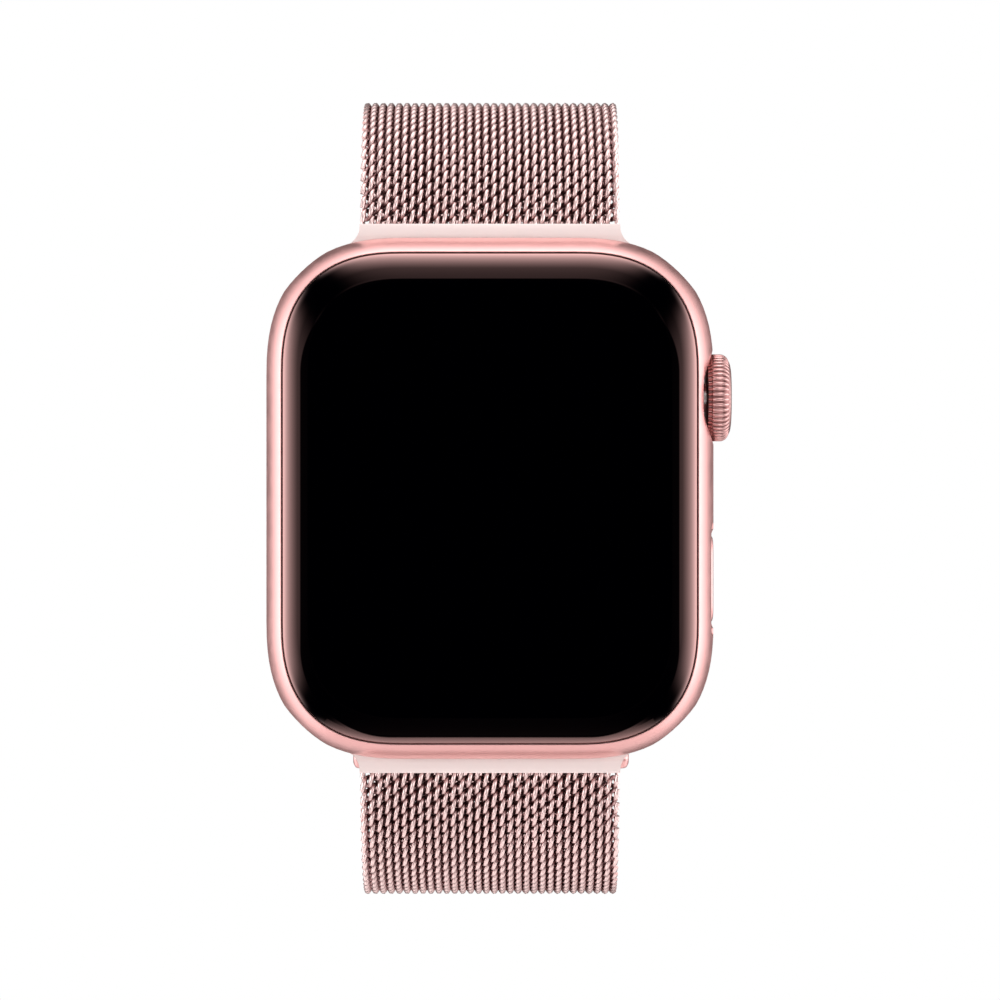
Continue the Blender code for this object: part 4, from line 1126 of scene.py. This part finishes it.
def wovenPiece(name, points, run, firstRow, lastRow):
    # rows firstRow to lastRow of a strap that starts its rows at weave["start"]
    start, stop = (weave["start"] + row * weave["rowPitch"] for row in (firstRow, lastRow))
    rows = lastRow - firstRow + 1
    line = bpy.data.curves.new(name, "CURVE")
    line.dimensions = "3D"
    spline = line.splines.new("POLY")
    spots = cutPath(points, run, start, stop, (rows - 1) * 2)
    spline.points.add(len(spots) - 1)
    for point, spot in zip(spline.points, spots):
        point.co = (0, spot.x, spot.y, 1)
    carrier = bpy.data.objects.new(name + "Path", line)
    bpy.context.scene.collection.objects.link(carrier)
    values = {"Rows": rows, "First Row": firstRow, "Coil": coilObject, "Finish": wire}
    values |= {"Wire Radius": weave["wireRadius"], "Wire Sides": weave["wireSides"]}
    values |= {"Thickness": band["thick"], "Half Width": band["width"] / 2}
    addTree(carrier, wovenGroup, values)
    mesh = evaluatedMesh(carrier)
    mesh.name = name
    bpy.data.objects.remove(carrier)
    piece = bpy.data.objects.new(name, mesh)
    bpy.context.scene.collection.objects.link(piece)
    print(name, "rows", rows, "faces", len(mesh.polygons))
    return piece


def rowAt(s):
    return int((s - weave["start"]) / weave["rowPitch"])


def makeUpperStrap():
    points = [Vector(p) for p in loopPath]
    last = rowAt(barHinge - band["keeperBar"] - band["keeperSlot"] - 0.75 * mm)
    splitA, splitB = rowAt(rearHinge - 12 * mm), rowAt(rearHinge + 20 * mm)
    near = wovenPiece("upperStrapNear", points, loopRun, 0, splitA)
    enlist(near, "mesh_metal", None, "upper_mesh")
    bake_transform(near)
    far = wovenPiece("upperStrapFar", points, loopRun, splitA + 1, splitB)
    enlist(far, "mesh_metal", None, "upper_mesh", "rear_mesh")
    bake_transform(far)
    rear = wovenPiece("rearStrap", points, loopRun, splitB + 1, last)
    enlist(rear, "mesh_metal", "rear_link", "rear_mesh")


def makeLowerStrap():
    points = lowerStrapPath()
    run = polylineRun(points)
    inside = run[weave["insideSteps"]]
    splitA, splitB = rowAt(inside - 3 * mm), rowAt(inside + math.pi * foldRadius + 3 * mm)
    near = wovenPiece("lowerStrap", points, run, 0, splitA)
    enlist(near, "mesh_metal", None, "lower_mesh")
    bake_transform(near)
    fold = wovenPiece("strapFold", points, run, splitA + 1, splitB)
    enlist(fold, "mesh_metal", None, "mesh_fold", "lower_mesh", "tail_mesh")
    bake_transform(fold)
    tail = wovenPiece("strapTail", points, run, splitB + 1, rowAt(run[-1]))
    enlist(tail, "mesh_metal", "tail", "tail_mesh")


makeUpperStrap()
makeLowerStrap()
bpy.data.objects.remove(coilObject)


def makeKeeper():
    centre, _, _ = alongLoop(barHinge)
    span = band["keeperBar"] + band["keeperSlot"]
    far, _, _ = alongLoop(barHinge - span)
    way = (far - centre).normalized()
    out = Vector((way.y, -way.x))
    halfSlot = band["width"] / 2 + 0.5 * mm
    half = halfSlot + 1.5 * mm
    barHalf = band["keeperBar"] / 2

    def slab(name, halfX, low, high, depth):
        rings = []
        for d in (-depth / 2, depth / 2):
            corners = ((-halfX, low), (halfX, low), (halfX, high), (-halfX, high))
            spots = [(x, centre + way * t + out * d) for x, t in corners]
            rings.append([(x, p.x, p.y) for x, p in spots])
        return pieceFrom(name, loft(rings), satin)

    keeper = slab("keeperFrame", half, -barHalf, span + barHalf, band["keeperBar"])
    slotCut = slab("cut", halfSlot, barHalf, barHalf + band["keeperSlot"], 3 * band["keeperBar"])
    combine(keeper, "DIFFERENCE", [slotCut])
    breakEdges(keeper, 0.62 * mm, 6)
    enlist(keeper, "case_metal", "rear_link", "keeper")
    print("keeper made")


def makeClasp():
    start = barHinge + band["claspFromBar"]
    end = start + band["claspLength"]
    low = band["thick"] / 2 + band["layerGap"]
    high, halfX = low + band["claspThick"], band["width"] / 2

    def layer(name, fromEdge, bottom, top, spacing):
        steps = max(2, round((end - start) / spacing))
        rings = []
        for i in range(steps + 1):
            s = start + fromEdge + (end - start - 2 * fromEdge) * i / steps
            spot, _, out = alongLoop(s)
            a, b = spot + out * bottom, spot + out * top
            x = halfX - fromEdge
            rings.append([(-x, a.x, a.y), (x, a.x, a.y), (x, b.x, b.y), (-x, b.x, b.y)])
        return pieceFrom(name, loft(rings), satin, 30)

    shell = layer("claspCover", 0, low, high, 0.5 * mm)
    wall = 0.6 * mm
    combine(shell, "DIFFERENCE", [layer("cut", wall, low - 1 * mm, high - wall, 0.5 * mm)])
    breakEdges(shell, 0.35 * mm, 4)
    enlist(shell, "case_metal", "tail", "clasp_shell")
    print("clasp made")


makeKeeper()
makeClasp()

innerFinish = {
    "display_panel": laminate,
    "glass_gasket": rubber,
    "battery": foil,
    "logic_board": board,
    "haptic_motor": steel,
    "speaker": nylon,
    "system_module": nylon,
    "microphone": steel,
    "charging_coil": copper,
    "sensor_module": board,
    "crown_shaft": steel,
    "crown_bush": nylon,
    "crown_seal": rubber,
    "crown_push_plate": steel,
    "crown_switch": nylon,
    "side_button_switch": nylon,
    "upper_detent_pin": steel,
    "lower_detent_pin": steel,
    "clasp_magnet": nickel,
    "board_screw_1": steel,
    "board_screw_2": steel,
    "board_screw_3": steel,
    "board_screw_4": steel,
}
for nodeName, material in innerFinish.items():
    node = frame["nodes"][nodeName]
    node.data.materials.clear()
    node.data.materials.append(material)
print("inner parts dressed:", len(innerFinish))

studio = {
    "panelGlow": 2.9,
    "rearShare": 0.03,
    "cornerShare": 0.02,
    "floorZ": -0.35,
    "floorSize": 0.5,
    "cameraDistance": 0.35,
    "cameraAim": (0.85 * mm, -0.14 * mm),
    "frameWidth": 84.6 * mm,
    "sensor": 36.0,
}


def makeWorld():
    # White to the camera. To the surfaces it is a studio: bright panels left, right and above, a weaker
    # one below, dark corners between them, and dimmer both behind the watch and towards the camera.
    world = bpy.data.worlds.new("softStudio")
    bpy.context.scene.world = world
    world.use_nodes = True
    tree = world.node_tree
    tree.nodes.clear()
    way = addNode(tree, "ShaderNodeTexCoord").outputs["Generated"]
    parts = addNode(tree, "ShaderNodeSeparateXYZ", {}, {"Vector": way}).outputs

    def value(operation, first, second=0.0):
        return mathNode(tree, operation, first, second)

    def mixed(share, first, second):
        inputs = {"Factor": share, "A": first, "B": second}
        return addNode(tree, "ShaderNodeMix", {}, inputs).outputs["Result"]

    def ramp(source, low, high, toLow, toHigh, shape="SMOOTHSTEP"):
        return rampNode(tree, source, low, high, toLow, toHigh, shape)

    def rampDegrees(low, high, toLow, toHigh, shape="SMOOTHSTEP"):
        # by the angle away from the way to the camera
        return ramp(away, math.radians(low), math.radians(high), toLow, toHigh, shape)

    away = value("ARCCOSINE", value("MULTIPLY", parts["Y"], -1.0))
    xSquare, zSquare = (value("MULTIPLY", parts[axis], parts[axis]) for axis in "XZ")
    around = value("MAXIMUM", value("ADD", xSquare, zSquare), 0.00001)
    upright = value("DIVIDE", parts["Z"], value("SQRT", around))
    between = value("DIVIDE", value("ABSOLUTE", value("SUBTRACT", xSquare, zSquare)), around)
    below, above = ramp(upright, -0.95, -0.1, 1.0, 0.0), ramp(upright, 0.3, 0.8, 0.0, 1.0)
    nearCamera = rampDegrees(4.5, 7, 0.0, 1.0)
    rise = mixed(below, rampDegrees(6, 60, 0.41, 1.0), rampDegrees(12, 65, 0.42, 1.12))
    share = studio["rearShare"]
    rearLow, rearHigh = (rampDegrees(*angles, 1.0, share, "LINEAR") for angles in ((92, 144), (95, 128)))
    rear = mixed(above, rearLow, rearHigh)
    panel = ramp(between, 0.3, 1.0, 0.0, 1.0, "LINEAR")
    inCorner = value("SUBTRACT", 1.0, value("MULTIPLY", panel, panel))
    corner = mixed(inCorner, 1.0, rampDegrees(60, 115, studio["cornerShare"], 0.8))
    corner = mixed(rampDegrees(3, 10, 0.0, 1.0), 1.0, corner)
    glow = value("MULTIPLY", value("MULTIPLY", rise, rear), value("MULTIPLY", corner, nearCamera))
    strengths = (value("MULTIPLY", glow, studio["panelGlow"]), 1.0)
    lights = []
    for strength in strengths:
        inputs = {"Color": (1, 1, 1, 1), "Strength": strength}
        lights.append(addNode(tree, "ShaderNodeBackground", {}, inputs).outputs[0])
    seen = addNode(tree, "ShaderNodeLightPath").outputs["Is Camera Ray"]
    joined = addNode(tree, "ShaderNodeMixShader", {}, {0: seen, 1: lights[0], 2: lights[1]})
    addNode(tree, "ShaderNodeOutputWorld", {}, {"Surface": joined.outputs[0]})


def makeFloor():
    half, z = studio["floorSize"] / 2, studio["floorZ"]
    shape = bmesh.new()
    corners = ((-half, -half), (half, -half), (half, half), (-half, half))
    shape.faces.new([shape.verts.new((x, y, z)) for x, y in corners])
    floor = pieceFrom("floor", shape, makeFinish("paleFloor", "#F4F2F1", 0.7, 0.0))


def makeCamera():
    data = bpy.data.cameras.new("camera")
    camera = bpy.data.objects.new("camera", data)
    bpy.context.scene.collection.objects.link(camera)
    data.sensor_width = studio["sensor"]
    data.lens = studio["sensor"] * studio["cameraDistance"] / studio["frameWidth"]
    aimX, aimZ = studio["cameraAim"]
    camera.location = (aimX, middleY - studio["cameraDistance"], aimZ)
    camera.rotation_euler = (math.pi / 2, 0, 0)
    data.clip_start, data.clip_end = 0.01, 20
    bpy.context.scene.camera = camera


makeWorld()
makeFloor()
makeCamera()
bpy.context.scene.view_settings.view_transform = "Standard"
print("studio made")
